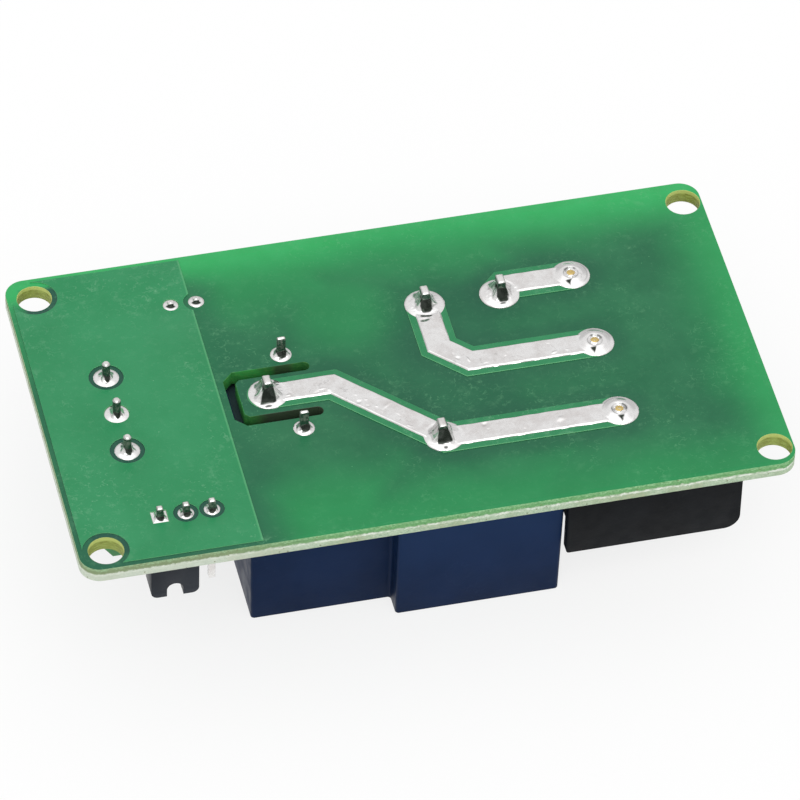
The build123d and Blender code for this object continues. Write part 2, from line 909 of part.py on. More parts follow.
coupler_body = moulded_body(coupler_place, coupler_size)
coupler_leads = bent_leads(
    coupler_place,
    coupler_size,
    coupler_lead_reach,
    coupler_lead_width,
    [(column * pin_grid / 2, side) for column in (-1, 1) for side in (-1, 1)],
)
transistor_body = moulded_body(transistor_place, transistor_size)
transistor_leads = bent_leads(
    transistor_place,
    transistor_size,
    transistor_lead_reach,
    lead_width,
    [(-transistor_pitch, -1), (transistor_pitch, -1), (0, 1)],
)
diode_body = moulded_body(diode_place, diode_size)
diode_leads = bent_leads(diode_place, diode_size, diode_lead_reach, diode_lead_width, [(0, -1), (0, 1)])

chip_end = (resistor_size[1] - resistor_cap) / 2
chip_core = resistor_size[1] - 2 * resistor_cap

with BuildPart() as resistor_bodies:
    with BuildSketch(level(0)):
        with Locations(*resistor_places):
            Rectangle(resistor_size[0], chip_core)
    extrude(amount=-resistor_size[2])

with BuildPart() as resistor_caps:
    with BuildSketch(level(0)):
        with Locations(*resistor_places):
            with Locations((0, chip_end), (0, -chip_end)):
                Rectangle(resistor_size[0], resistor_cap)
    extrude(amount=-resistor_size[2])

with BuildPart() as power_lamp:
    with BuildSketch(level(0)):
        with Locations(lamp_place):
            Rectangle(resistor_size[0], resistor_size[1])
    extrude(amount=-lamp_base_height)
    with BuildSketch(level(lamp_base_height)):
        with Locations(lamp_place):
            Rectangle(resistor_size[0], chip_core)
    extrude(amount=-lamp_lens_height, taper=lamp_lens_taper)

# Write every piece
os.makedirs("parts", exist_ok=True)
single_pieces = {
    "circuit_board": circuit_board,
    "ground_pour": ground_pour,
    "track_open": track_open,
    "track_closed": track_closed,
    "track_common": track_common,
    "solder_open": solder_open,
    "solder_closed": solder_closed,
    "solder_common": solder_common,
    "solder_coil": solder_coil,
    "solder_input": solder_input,
    "solder_header": solder_header,
    "solder_led": solder_led,
    "relay_case": relay_case,
    "relay_base": relay_base,
    "output_housing": output_housing,
    "input_housing": input_housing,
    "header_base": header_strip,
    "jumper_cap": jumper_cap,
    "jumper_clip": jumper_clip,
    "led_lens": led_lens,
    "coupler_body": coupler_body,
    "coupler_leads": coupler_leads,
    "transistor_body": transistor_body,
    "transistor_leads": transistor_leads,
    "diode_body": diode_body,
    "diode_leads": diode_leads,
    "resistor_bodies": resistor_bodies,
    "resistor_caps": resistor_caps,
    "power_lamp": power_lamp,
}
repeated_pieces = [
    relay_pins,
    output_contacts,
    output_clamps,
    output_screws,
    input_cages,
    input_contacts,
    input_screws,
    header_pins,
    led_leads,
]
for group in [single_pieces, *repeated_pieces]:
    for node, piece in group.items():
        write_piece(piece, node)
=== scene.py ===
import json
import math

import bmesh
import bpy
import numpy as np
from mathutils import Matrix, Vector


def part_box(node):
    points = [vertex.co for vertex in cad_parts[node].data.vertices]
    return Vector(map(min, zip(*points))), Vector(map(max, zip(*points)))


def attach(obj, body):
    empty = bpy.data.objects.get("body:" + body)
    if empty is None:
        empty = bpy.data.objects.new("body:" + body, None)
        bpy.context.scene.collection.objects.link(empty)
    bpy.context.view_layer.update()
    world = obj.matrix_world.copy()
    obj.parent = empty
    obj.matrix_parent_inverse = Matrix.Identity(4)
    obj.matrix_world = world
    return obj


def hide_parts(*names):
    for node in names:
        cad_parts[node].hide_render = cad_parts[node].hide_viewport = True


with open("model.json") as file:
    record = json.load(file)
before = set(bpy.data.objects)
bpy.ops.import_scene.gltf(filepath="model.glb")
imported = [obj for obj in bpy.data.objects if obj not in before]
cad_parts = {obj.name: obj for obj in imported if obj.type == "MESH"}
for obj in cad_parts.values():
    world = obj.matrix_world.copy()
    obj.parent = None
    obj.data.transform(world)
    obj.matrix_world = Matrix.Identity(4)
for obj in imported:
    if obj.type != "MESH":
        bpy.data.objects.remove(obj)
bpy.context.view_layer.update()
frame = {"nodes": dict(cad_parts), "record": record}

MM = 0.001

# The camera, in millimetres: where it stands and the directions of its right, up and view
CAMERA_PLACE = (-126.098, -478.947, 524.062)
CAMERA_RIGHT = (0.9726747, -0.23087516, 0.02450677)
CAMERA_UP = (0.14888338, 0.70124966, 0.69719628)
CAMERA_AHEAD = (0.17815067, 0.67449653, -0.71646128)
CAMERA_LENS = 328.3
CAMERA_SENSOR = 36.0
CAMERA_CLIP = (0.05, 20.0)


def rgb(red, green, blue):
    """A screen colour, 0 to 255, as the linear colour that a shader takes."""
    parts = (red / 255, green / 255, blue / 255)
    linear = [c / 12.92 if c <= 0.04045 else ((c + 0.055) / 1.055) ** 2.4 for c in parts]
    return (*linear, 1.0)


def dimmed(base, *shares):
    """A colour with each part multiplied by its share."""
    return (*[part * share for part, share in zip(base, shares)], 1.0)


def node_centre(name):
    """The middle of a node's box."""
    low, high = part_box(name)
    return (low + high) / 2


def placed(name, data):
    """A new object in the scene."""
    made = bpy.data.objects.new(name, data)
    bpy.context.scene.collection.objects.link(made)
    return made


def make_camera():
    """The camera of the photograph."""
    data = bpy.data.cameras.new("camera")
    data.lens = CAMERA_LENS
    data.sensor_width = CAMERA_SENSOR
    data.clip_start, data.clip_end = CAMERA_CLIP
    camera = placed("camera", data)
    turn = Matrix((CAMERA_RIGHT, CAMERA_UP, [-c for c in CAMERA_AHEAD])).transposed().to_4x4()
    camera.matrix_world = Matrix.Translation(Vector(CAMERA_PLACE) * MM) @ turn
    bpy.context.scene.camera = camera


class Nodes:
    """Short calls for the nodes of a material or of the world."""

    def __init__(self, tree):
        self.tree = tree

    def node(self, kind, sockets=(), **settings):
        """A new node of a kind, with some of its sockets and settings given."""
        made = self.tree.nodes.new(f"ShaderNode{kind}")
        for name, value in settings.items():
            setattr(made, name, value)
        for socket, value in dict(sockets).items():
            self.set(made, socket, value)
        return made

    def set(self, node, socket, value):
        """A socket takes a number, a colour or another node's output."""
        if isinstance(value, bpy.types.NodeSocket):
            self.tree.links.new(value, node.inputs[socket])
        else:
            node.inputs[socket].default_value = value

    def maths(self, operation, a, b=0.0, clamp=False):
        return self.node("Math", {0: a, 1: b}, operation=operation, use_clamp=clamp).outputs[0]

    def times(self, a, b, clamp=False):
        return self.maths("MULTIPLY", a, b, clamp)

    def plus(self, a, b, clamp=False):
        return self.maths("ADD", a, b, clamp)

    def minus(self, a, b):
        return self.maths("SUBTRACT", a, b)

    def most(self, a, b):
        return self.maths("MAXIMUM", a, b)

    def least(self, a, b):
        return self.maths("MINIMUM", a, b)

    def band(self, source, low, high, to_low=0.0, to_high=1.0):
        """A smooth step from one value to another."""
        sockets = {"Value": source, "From Min": low, "From Max": high, "To Min": to_low, "To Max": to_high}
        return self.node("MapRange", sockets, interpolation_type="SMOOTHSTEP").outputs["Result"]

    def axes(self, vector):
        """The three parts of a vector."""
        return self.node("SeparateXYZ", {0: vector}).outputs


class Surface(Nodes):
    """A Principled material, with short calls for what varies it."""

    def __init__(self, name, base, roughness, metallic=0.0, gloss=0.5, **sockets):
        self.material = bpy.data.materials.new(name)
        self.material.use_nodes = True
        super().__init__(self.material.node_tree)
        self.shader = self.tree.nodes["Principled BSDF"]
        self.base(base)
        self.roughness(roughness)
        self.set(self.shader, "Metallic", metallic)
        self.set(self.shader, "Specular IOR Level", gloss)
        for socket, value in sockets.items():
            self.set(self.shader, socket.replace("_", " "), value)
        self.place = self.node("TexCoord").outputs["Object"]
        self.x, self.y, self.z = self.axes(self.place)

    def base(self, value):
        self.set(self.shader, "Base Color", value)

    def roughness(self, value):
        self.set(self.shader, "Roughness", value)

    def stretched(self, scale=(1.0, 1.0, 1.0), turn=0.0):
        """Object coordinates turned about Z and stretched."""
        sockets = {"Vector": self.place, "Rotation": (0, 0, turn), "Scale": scale}
        return self.node("Mapping", sockets).outputs[0]

    def noise(self, size, detail=2.0, roughness=0.5, where=None):
        """Noise with features of about a size in millimetres, from 0 to 1."""
        sockets = {"Scale": 1 / (size * MM), "Detail": detail, "Roughness": roughness}
        return self.node("TexNoise", {"Vector": where or self.place, **sockets}).outputs["Fac"]

    def mix(self, factor, a, b):
        return self.node("Mix", {0: factor, 6: a, 7: b}, data_type="RGBA").outputs[2]

    def specks(self, spacing, radius, share):
        """Small dots, a share of the cells of a grid that is a spacing apart."""
        cells = self.node("TexVoronoi", {"Vector": self.place, "Scale": 1 / (spacing * MM)}).outputs
        pick = self.node("SeparateColor", {0: cells["Color"]}).outputs[0]
        dot = self.band(cells["Distance"], radius * 0.5, radius, 1.0, 0.0)
        return self.times(self.maths("LESS_THAN", pick, share), dot)

    def crossing(self, noise, width):
        """1 where a noise crosses its middle value, and 0 from a width away."""
        away = self.maths("ABSOLUTE", self.minus(noise, 0.5))
        return self.band(away, 0.0, width, 1.0, 0.0)

    def scratches(self, length, turn, width=0.012):
        """Sparse fine lines along one direction."""
        line = self.crossing(self.noise(length, 3.0, where=self.stretched((1.0, 9.0, 1.0), turn)), width)
        patch = self.band(self.noise(length * 1.7, 1.0), 0.56, 0.66)
        return self.times(line, patch)

    def hairs(self, size, width, share):
        """Short fine curls in every direction, in scattered places."""
        line = self.crossing(self.noise(size, 2.5, 0.55), width)
        patch = self.noise(size * 0.8, where=self.stretched(turn=1.1))
        return self.times(line, self.band(patch, share, share + 0.06))

    def facing(self):
        """The direction that a face looks in, as its three parts."""
        return self.axes(self.node("NewGeometry").outputs["Normal"])

    def upright(self):
        """How far a face looks up or down: 1 level, 0 upright."""
        return self.maths("ABSOLUTE", self.facing()[2])

    def near_facing(self):
        """How far a face looks towards the near edge: 1 straight at it, 0 or less away."""
        return self.times(self.facing()[1], -1.0)

    def painted(self, name):
        """A value kept at the mesh's points."""
        return self.node("Attribute", attribute_name=name).outputs["Fac"]

    def from_point(self, point):
        """How far each place is from a point of the board's plane."""
        square_x = self.maths("POWER", self.minus(self.x, point[0]), 2.0)
        square_y = self.maths("POWER", self.minus(self.y, point[1]), 2.0)
        return self.maths("SQRT", self.plus(square_x, square_y))

    def vector_maths(self, operation, *sockets, **scale):
        made = self.node("VectorMath", {**dict(enumerate(sockets)), **scale}, operation=operation)
        return made.outputs

    def from_run(self, start, end):
        """How far each place of the solder side is from a straight run, whose ends are in millimetres."""
        first = Vector((*start, SOLDER_FACE / MM)) * MM
        run = Vector((*end, SOLDER_FACE / MM)) * MM - first
        out = self.vector_maths("SUBTRACT", self.place, first)[0]
        shadow = self.vector_maths("DOT_PRODUCT", out, run)["Value"]
        along = self.times(shadow, 1 / run.length_squared, True)
        reached = self.vector_maths("SCALE", run, Scale=along)[0]
        return self.vector_maths("LENGTH", self.vector_maths("SUBTRACT", out, reached)[0])["Value"]

    def bump(self, height, depth):
        """Relief of a depth in millimetres."""
        made = self.node("Bump", {"Height": height, "Distance": depth * MM})
        self.set(self.shader, "Normal", made.outputs[0])


# Boxes from the frame
BOARD_LOW, BOARD_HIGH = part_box("circuit_board")
POUR_LOW, POUR_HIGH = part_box("ground_pour")
RELAY_LOW, RELAY_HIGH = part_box("relay_case")
OUTPUT_LOW, OUTPUT_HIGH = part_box("output_housing")
SOLDER_FACE = BOARD_HIGH.z
COMPONENT_FACE = BOARD_LOW.z
COPPER = POUR_HIGH.z - POUR_LOW.z
COMMON_PIN = node_centre("relay_pin_common_a")

# The board's corners, mounting holes and edges
BOARD_CORNER = 2.0 * MM
BOARD_EDGE = 0.06 * MM
HOLE_RADIUS = 1.7 * MM
HOLES = [(x * MM, y * MM) for x in (-32.4, 33.2) for y in (17.0, -17.4)]
FAR_LEFT_CORNER = (BOARD_LOW.x, BOARD_HIGH.y)

# The relay's step, half the width of its narrow end, and the middle of painted light through a gap in what
# covers the board
RELAY_STEP_X = -2.95 * MM
RELAY_COIL_HALF = 11.3 * MM
COIL_GLOW = (-3.5 * MM, 9.5 * MM)

# The milled slot: its middle line, in millimetres from the common pin, and half its width
SLOT_BACK = 3.2
SLOT_LENGTH = 7.55
SLOT_HALF = 3.08
SLOT_BEVEL = 0.75
SLOT_CUT = 0.55 * MM
SLOT_FAR_LINE = [
    (SLOT_LENGTH - SLOT_BACK, SLOT_HALF),
    (SLOT_BEVEL - SLOT_BACK, SLOT_HALF),
    (-SLOT_BACK, SLOT_HALF - SLOT_BEVEL),
]
SLOT_OFFSETS = SLOT_FAR_LINE + [(x, -y) for x, y in reversed(SLOT_FAR_LINE)]
SLOT_LINE = [(COMMON_PIN.x + x * MM, COMMON_PIN.y + y * MM) for x, y in SLOT_OFFSETS]
SLOT_DARK_X = COMMON_PIN.x + 0.4 * MM

# What covers the component side, each as its left, right, near and far sides
RELAY_Y = (RELAY_LOW.y + RELAY_HIGH.y) / 2
RELAY_WIDE_END = (RELAY_STEP_X, RELAY_HIGH.x, RELAY_LOW.y, RELAY_HIGH.y)
COVERS = [
    (RELAY_LOW.x, RELAY_HIGH.x, RELAY_Y - RELAY_COIL_HALF, RELAY_Y + RELAY_COIL_HALF),
    (RELAY_STEP_X, OUTPUT_HIGH.x, RELAY_LOW.y, RELAY_HIGH.y),
    (OUTPUT_LOW.x, OUTPUT_HIGH.x, OUTPUT_LOW.y, OUTPUT_HIGH.y),
    (BOARD_LOW.x - 1 * MM, POUR_HIGH.x, -POUR_HIGH.y - 2 * MM, POUR_HIGH.y),
]
FAR_AWAY = 1.0


# Tracks and their solder, in millimetres in the board's plane
def place_mm(name):
    """The middle of a node in the board's plane."""
    middle = node_centre(name) / MM
    return (middle.x, middle.y)


OUTPUT_PAD = 1.92
INPUT_PAD = 1.25
OUTPUT_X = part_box("solder_open")[1].x / MM - OUTPUT_PAD
STRIP_SHIFT = -0.12
OUTPUT_Y = [place_mm(f"output_screw_{row}")[1] + STRIP_SHIFT for row in (1, 2, 3)]
OPEN = place_mm("relay_pin_open")
CLOSED = place_mm("relay_pin_closed")
COMMON_A = place_mm("relay_pin_common_a")
COMMON_B = place_mm("relay_pin_common_b")
TRACK_BEND = 2.55
COMMON_RUN = 6.5
ROUTES = {
    "open": [OPEN, (OPEN[0] + OUTPUT_Y[0] - OPEN[1], OUTPUT_Y[0]), (OUTPUT_X, OUTPUT_Y[0])],
    "closed": [
        CLOSED,
        (CLOSED[0], OUTPUT_Y[1] + TRACK_BEND),
        (CLOSED[0] + TRACK_BEND, OUTPUT_Y[1]),
        (OUTPUT_X, OUTPUT_Y[1]),
    ],
    "common": [
        COMMON_A,
        (COMMON_A[0] + COMMON_RUN, COMMON_A[1]),
        (COMMON_A[0] + COMMON_RUN + COMMON_A[1] - OUTPUT_Y[2], OUTPUT_Y[2]),
        (OUTPUT_X, OUTPUT_Y[2]),
    ],
}
SHADED_RUNS = [
    run for route in (ROUTES["open"], ROUTES["closed"][1:], ROUTES["common"]) for run in zip(route, route[1:])
]
TRACK_HALF = 1.925
TINNED_HALF = 1.275
TINNED_RISE = 0.2
COPPER_MM = COPPER / MM


def mask_variation(skin, light, dark):
    """Solder mask: soft patches, cloudy smudges, handling scratches and dust."""
    patches = skin.band(skin.noise(7.0, 4.0, 0.6), 0.32, 0.72)
    tone = skin.mix(patches, dark, light)
    fine = skin.band(skin.noise(0.45, 3.0, 0.7), 0.4, 0.75, 0.0, 0.22)
    tone = skin.mix(fine, tone, light)
    wear_and_highlight = skin.band(skin.noise(8.0, where=skin.stretched(turn=0.7)), 0.42, 0.64, 0.25, 1.0)
    smudge = skin.band(skin.noise(1.1, 4.0, 0.68), 0.52, 0.74, 0.0, 0.4)
    curls = skin.most(skin.hairs(1.3, 0.02, 0.55), skin.hairs(0.7, 0.03, 0.56))
    lines = skin.most(skin.scratches(3.4, 0.5, 0.008), skin.scratches(2.2, 2.1, 0.01))
    marks = skin.most(skin.times(curls, 0.55), skin.times(lines, 0.4))
    marks = skin.times(skin.plus(marks, smudge, True), wear_and_highlight)
    dust = skin.most(skin.specks(0.9, 0.08, 0.1), skin.specks(0.5, 0.05, 0.1))
    return tone, skin.most(marks, dust)


def beyond(skin, left, right, near, far):
    """How far outside a rectangle of the board each place is; negative inside."""
    from_x = skin.maths("ABSOLUTE", skin.minus(skin.x, (left + right) / 2))
    from_y = skin.maths("ABSOLUTE", skin.minus(skin.y, (near + far) / 2))
    return skin.most(skin.minus(from_x, (right - left) / 2), skin.minus(from_y, (far - near) / 2))


def light_through(skin):
    """How much light comes through the laminate: more, the further a place is from every cover."""
    away = FAR_AWAY
    for cover in COVERS:
        away = skin.least(away, beyond(skin, *cover))
    shift = skin.times(skin.minus(skin.noise(6.0), 0.5), 3 * MM)
    shift = skin.plus(shift, skin.band(skin.y, -12 * MM, -7 * MM, -1.1 * MM, 0.0))
    through = skin.band(skin.plus(away, shift), -4.2 * MM, 3.6 * MM)
    # Painted light through the board around the coil's point
    coil_glow = skin.band(skin.from_point(COIL_GLOW), 2.0 * MM, 8.0 * MM, 0.75, 0.0)
    return skin.most(through, coil_glow)


def edge_glow(skin):
    """Painted light through the mask by the far edge, the output end, the far left corner and the input end.
    """
    lean = skin.band(skin.x, 4 * MM, 24 * MM, 0.0, 1.5 * MM)
    lean = skin.plus(lean, skin.band(skin.x, -6 * MM, 2 * MM, 1.0 * MM, 0.0))
    far_glow = skin.band(skin.plus(skin.y, lean), 14.5 * MM, 22.0 * MM)
    end_glow = skin.band(skin.x, 30.5 * MM, 36.0 * MM, 0.0, 0.35)
    glow = skin.most(far_glow, end_glow)
    corner_glow = skin.band(skin.from_point(FAR_LEFT_CORNER), 2.4 * MM, 5.4 * MM, 0.9, 0.0)
    glow = skin.most(glow, corner_glow)
    left_glow = skin.band(skin.x, BOARD_LOW.x, BOARD_LOW.x + 1.8 * MM, 0.7, 0.0)
    left_glow = skin.times(left_glow, skin.band(skin.y, 2 * MM, 12 * MM))
    return skin.most(glow, left_glow)


def track_shade(skin):
    """The shade beside the tracks."""
    away = FAR_AWAY
    for start, end in SHADED_RUNS:
        away = skin.least(away, skin.from_run(start, end))
    return skin.band(away, 2.2 * MM, 4.4 * MM, 0.45, 0.0)


def pour_shade(skin):
    """The darker mask in the pour's openings, and a painted shadow beside its straight edge."""
    in_pour = beyond(skin, POUR_LOW.x, POUR_HIGH.x, -POUR_HIGH.y, POUR_HIGH.y)
    opening = skin.band(in_pour, -1.4 * MM, -0.6 * MM, 0.95, 0.0)
    beside = skin.band(skin.minus(skin.x, POUR_HIGH.x), 0.1 * MM, 4.8 * MM, 0.45, 0.0)
    beside = skin.times(beside, skin.band(skin.y, 14 * MM, 18 * MM, 1.0, 0.0))
    return skin.most(opening, beside)


def laminate_mask():
    """Green mask on bare laminate. Light coming through it is painted wherever no part covers the other side,
    with painted light by the edges and painted shade under the relay, beside the tracks and beside the pour.
    """
    skin = Surface("laminate_mask", rgb(40, 110, 72), 0.34, gloss=0.3)
    dark, marks = mask_variation(skin, rgb(38, 112, 74), rgb(24, 98, 64))
    # Painted shade over the relay's wide end
    relay_shade = skin.band(beyond(skin, *RELAY_WIDE_END), -4 * MM, -1.5 * MM, 0.35, 0.0)
    dark = skin.mix(relay_shade, dark, rgb(20, 80, 60))
    # Painted light where light would come through the laminate
    lit = skin.mix(skin.noise(3.0, 4.0), rgb(20, 126, 68), rgb(38, 138, 82))
    body = skin.mix(light_through(skin), dark, lit)
    body = skin.mix(track_shade(skin), body, rgb(22, 82, 60))
    # Painted light through the mask by the board's edges
    bright = skin.mix(skin.noise(2.0, 4.0), rgb(38, 164, 84), rgb(58, 178, 104))
    body = skin.mix(edge_glow(skin), body, bright)
    body = skin.mix(pour_shade(skin), body, rgb(24, 76, 62))
    skin.base(skin.mix(skin.times(marks, 0.36), body, rgb(120, 186, 138)))
    skin.roughness(skin.band(skin.noise(1.2, 4.0), 0.3, 0.8, 0.28, 0.42))
    skin.bump(skin.noise(0.35, 3.0), 0.004)
    return skin.material


def copper_mask(name, light, dark, highlight_x=None):
    """Green mask over copper: lighter, opaque and a little coarser, with a painted highlight on its sloped
    edges and along a straight edge where one is given.
    """
    skin = Surface(name, light, 0.36, gloss=0.3)
    tone, marks = mask_variation(skin, light, dark)
    body = skin.mix(skin.times(marks, 0.4), tone, rgb(150, 200, 165))
    # Painted highlight on sloped edges, and along one straight edge where its place is given
    slope_highlight = skin.band(skin.upright(), 0.6, 0.99, 0.8, 0.0)
    if highlight_x:
        wear_and_highlight = skin.band(skin.x, highlight_x - 0.22 * MM, highlight_x - 0.12 * MM, 0.0, 0.28)
        slope_highlight = skin.most(slope_highlight, wear_and_highlight)
    skin.base(skin.mix(slope_highlight, body, rgb(118, 196, 138)))
    skin.roughness(skin.band(skin.noise(1.2, 4.0), 0.3, 0.8, 0.28, 0.45))
    skin.bump(skin.noise(0.25, 4.0), 0.008)
    return skin.material


def laminate_edge():
    """The sawn edge: mask and glass by the solder side, pale resin and dust by the other, with a painted
    highlight along the top and a broken painted glint line across the middle.
    """
    skin = Surface("laminate_edge", rgb(200, 210, 180), 0.7)
    height = skin.band(skin.z, COMPONENT_FACE, SOLDER_FACE)
    ragged = skin.minus(skin.noise(0.5, 5.0, 0.75), 0.5)
    height = skin.plus(height, skin.times(ragged, 0.7))
    fibres = skin.noise(0.16, 3.0, 0.8, skin.stretched((1.0, 1.0, 2.5)))
    stain_and_dark_reflection = skin.band(skin.noise(4.0, 3.0), 0.42, 0.66)
    cream = skin.mix(stain_and_dark_reflection, rgb(206, 222, 196), rgb(188, 196, 160))
    pale = skin.mix(skin.band(fibres, 0.35, 0.62), rgb(150, 182, 146), cream)
    green = skin.mix(skin.band(fibres, 0.35, 0.7), rgb(84, 150, 88), rgb(140, 196, 130))
    input_end = skin.band(skin.x, -24 * MM, -8 * MM, 1.0, 0.0)
    pale = skin.mix(skin.times(input_end, 0.6), pale, rgb(224, 230, 218))
    green = skin.mix(skin.times(input_end, 0.75), green, rgb(140, 146, 112))
    body = skin.mix(skin.band(height, 0.5, 0.72), pale, green)
    # Painted highlight along the top of the edge
    lip = skin.times(skin.band(height, 0.88, 0.98), skin.band(fibres, 0.4, 0.6))
    body = skin.mix(skin.times(lip, 0.6), body, rgb(176, 222, 172))
    body = skin.mix(skin.specks(0.45, 0.22, 0.25), body, rgb(122, 128, 84))
    # A broken painted glint line across the middle of the edge
    glint_line = skin.times(skin.band(height, 0.3, 0.42), skin.band(height, 0.5, 0.66, 1.0, 0.0))
    broken = skin.band(skin.noise(0.7, 4.0, 0.7), 0.4, 0.6, 0.2, 0.95)
    broken = skin.times(broken, skin.band(input_end, 0.0, 1.0, 1.0, 0.45))
    skin.base(skin.mix(skin.times(glint_line, broken), body, rgb(238, 244, 232)))
    skin.bump(fibres, 0.05)
    return skin.material


def hole_wall():
    """Drilled wall: olive glass-epoxy with brown rings and a yellow lip."""
    skin = Surface("hole_wall", rgb(160, 165, 80), 0.6)
    rings = skin.noise(0.4, 4.0, 0.7, skin.stretched((0.6, 0.6, 5.0)))
    tone = skin.mix(skin.band(rings, 0.35, 0.7), rgb(128, 136, 50), rgb(168, 186, 96))
    height = skin.band(skin.z, COMPONENT_FACE, SOLDER_FACE)
    lip = skin.band(skin.plus(height, skin.times(rings, 0.15)), 0.8, 0.98)
    skin.base(skin.mix(lip, tone, rgb(196, 208, 118)))
    skin.bump(rings, 0.03)
    return skin.material


def slot_wall():
    """Milled wall of the slot: green resin lit from the mask's side, with painted shade over stretches of its
    near and far runs.
    """
    skin = Surface("slot_wall", rgb(40, 96, 34), 0.55)
    rings = skin.noise(0.5, 3.0, where=skin.stretched((1.0, 1.0, 2.0)))
    cloudy = skin.band(skin.noise(2.4), 0.38, 0.62)
    green = skin.mix(cloudy, rgb(42, 108, 50), rgb(54, 150, 70))
    green = skin.mix(skin.band(rings, 0.4, 0.75, 0.0, 0.5), green, rgb(84, 142, 66))
    # Painted shade over stretches of the far and near runs
    far_run = skin.band(skin.x, SLOT_DARK_X + 0.75 * MM, SLOT_DARK_X + 1.45 * MM, 0.0, 0.7)
    far_end = skin.band(skin.x, SLOT_DARK_X + 2.45 * MM, SLOT_DARK_X + 3.35 * MM, 1.0, 0.0)
    far_run = skin.times(far_run, far_end)
    near_run = skin.band(skin.x, SLOT_DARK_X - 2.65 * MM, SLOT_DARK_X - 0.65 * MM, 0.0, 0.95)
    near_side = skin.maths("LESS_THAN", skin.y, COMMON_PIN.y)
    slot_shade = skin.mix(near_side, far_run, near_run)
    skin.base(skin.mix(slot_shade, green, rgb(52, 62, 48)))
    skin.bump(rings, 0.03)
    return skin.material


def tin(name, base, roughness, wave, flank_reflections, steep=(0.42, 0.72), beyond_side=0.3):
    """Bright tin: mottled and unevenly glossy, with a painted reflection on steep sides that face the near
    edge, where it is less metallic, and painted dark reflection where its joints mark it.
    """
    skin = Surface(name, base, roughness, 1.0)
    dull = skin.band(skin.noise(0.9, 4.0, 0.65), 0.4, 0.8, roughness * 0.7, roughness * 1.8)
    skin.roughness(dull)
    mottle = skin.band(skin.noise(1.7, 5.0, 0.72), 0.36, 0.7, 0.0, 0.85)
    mottle = skin.times(mottle, skin.band(skin.painted("clean"), 0.0, 1.0, 1.0, 0.25))
    tone = skin.mix(mottle, base, dimmed(base, 0.8, 0.77, 0.76))
    grain = skin.band(skin.noise(0.14), 0.35, 0.65, 0.0, 0.22)
    tone = skin.mix(grain, tone, dimmed(base, 0.68, 0.66, 0.66))
    flecks = skin.most(skin.specks(0.8, 0.12, 0.1), skin.hairs(1.4, 0.025, 0.6))
    tone = skin.mix(skin.times(flecks, 0.35), tone, dimmed(base, 0.42, 0.41, 0.4))
    # Painted reflection on steep sides that face the near edge: white on solder, dark green on pins
    above = skin.band(skin.z, SOLDER_FACE, SOLDER_FACE + 0.15 * MM)
    side = skin.times(above, skin.band(skin.upright(), *steep, 1.0, 0.0))
    side = skin.times(side, skin.band(skin.near_facing(), 0.0, 0.5, beyond_side, 1.0))
    flank_reflection = skin.mix(skin.band(skin.noise(0.4, 4.0, 0.7), 0.45, 0.68), *flank_reflections)
    tone = skin.mix(side, tone, flank_reflection)
    # Painted dark reflection where the joints mark the solder
    skin.base(skin.mix(skin.painted("stain_and_dark_reflection"), tone, DARK_REFLECTION))
    skin.set(skin.shader, "Metallic", skin.band(side, 0.0, 1.0, 1.0, 0.3))
    skin.bump(skin.noise(0.8, 4.0, 0.6), wave)
    return skin.material


def brushed(name, base, roughness):
    """Plated or bare metal with fine drawn lines."""
    skin = Surface(name, base, roughness, 1.0)
    lines = skin.noise(0.3, 3.0, where=skin.stretched((0.3, 4.0, 1.0), 0.4))
    skin.roughness(skin.band(lines, 0.3, 0.7, roughness * 0.7, roughness * 1.5))
    skin.bump(lines, 0.01)
    return skin.material


def moulded(name, light, dark, roughness, gloss=0.5, rise=None):
    """Moulded plastic: flow patches, fine grain and a few rubs, and where it has a rise, painted light that
    makes it lighter towards the board.
    """
    skin = Surface(name, light, roughness, gloss=gloss)
    patches = skin.band(skin.noise(7.0, 3.0), 0.3, 0.75)
    tone = skin.mix(patches, dark, light)
    # Painted light: lighter towards the board, and weaker before a given x
    if rise:
        weaker_x, full_x, lit_tone = rise
        along = skin.band(skin.x, weaker_x, full_x, 0.3, 1.0)
        tone = skin.mix(skin.times(skin.band(skin.z, 0.0, COMPONENT_FACE), along), tone, lit_tone)
    rubs = skin.times(skin.scratches(3.0, 0.9), 0.04)
    skin.base(skin.mix(rubs, tone, [min(1.0, c * 3 + 0.05) for c in light[:3]] + [1.0]))
    skin.roughness(skin.band(skin.noise(1.5, 3.0), 0.3, 0.8, roughness * 0.85, roughness * 1.25))
    skin.bump(skin.noise(0.35, 3.0, 0.6), 0.012)
    return skin.material


def lens(name, tint, transmission):
    """Tinted epoxy, slightly hazy."""
    skin = Surface(name, tint, 0.12, Transmission_Weight=transmission, IOR=1.5)
    haze = skin.band(skin.noise(1.2), 0.3, 0.8)
    skin.base(skin.mix(haze, tint, dimmed(tint, 0.7, 0.7, 0.7)))
    skin.bump(skin.noise(1.0), 0.01)
    return skin.material


MASK = laminate_mask()
EDGE = laminate_edge()
HOLE = hole_wall()
SLOT = slot_wall()
POUR = copper_mask("pour_mask", rgb(48, 139, 90), rgb(38, 132, 82), POUR_HIGH.x)
TRACK = copper_mask("track_mask", rgb(46, 133, 86), rgb(38, 124, 78))
# Painted dark reflection on the solder beside its pins
DARK_REFLECTION = rgb(50, 56, 50)
# Painted reflections for steep sides that face the near edge
SOLDER_FLANK_REFLECTIONS = (rgb(226, 226, 222), rgb(196, 200, 194))
PIN_FLANK_REFLECTIONS = (rgb(46, 80, 62), rgb(128, 134, 124))
SOLDER = tin("solder", (0.95, 0.94, 0.935, 1.0), 0.13, 0.01, SOLDER_FLANK_REFLECTIONS)
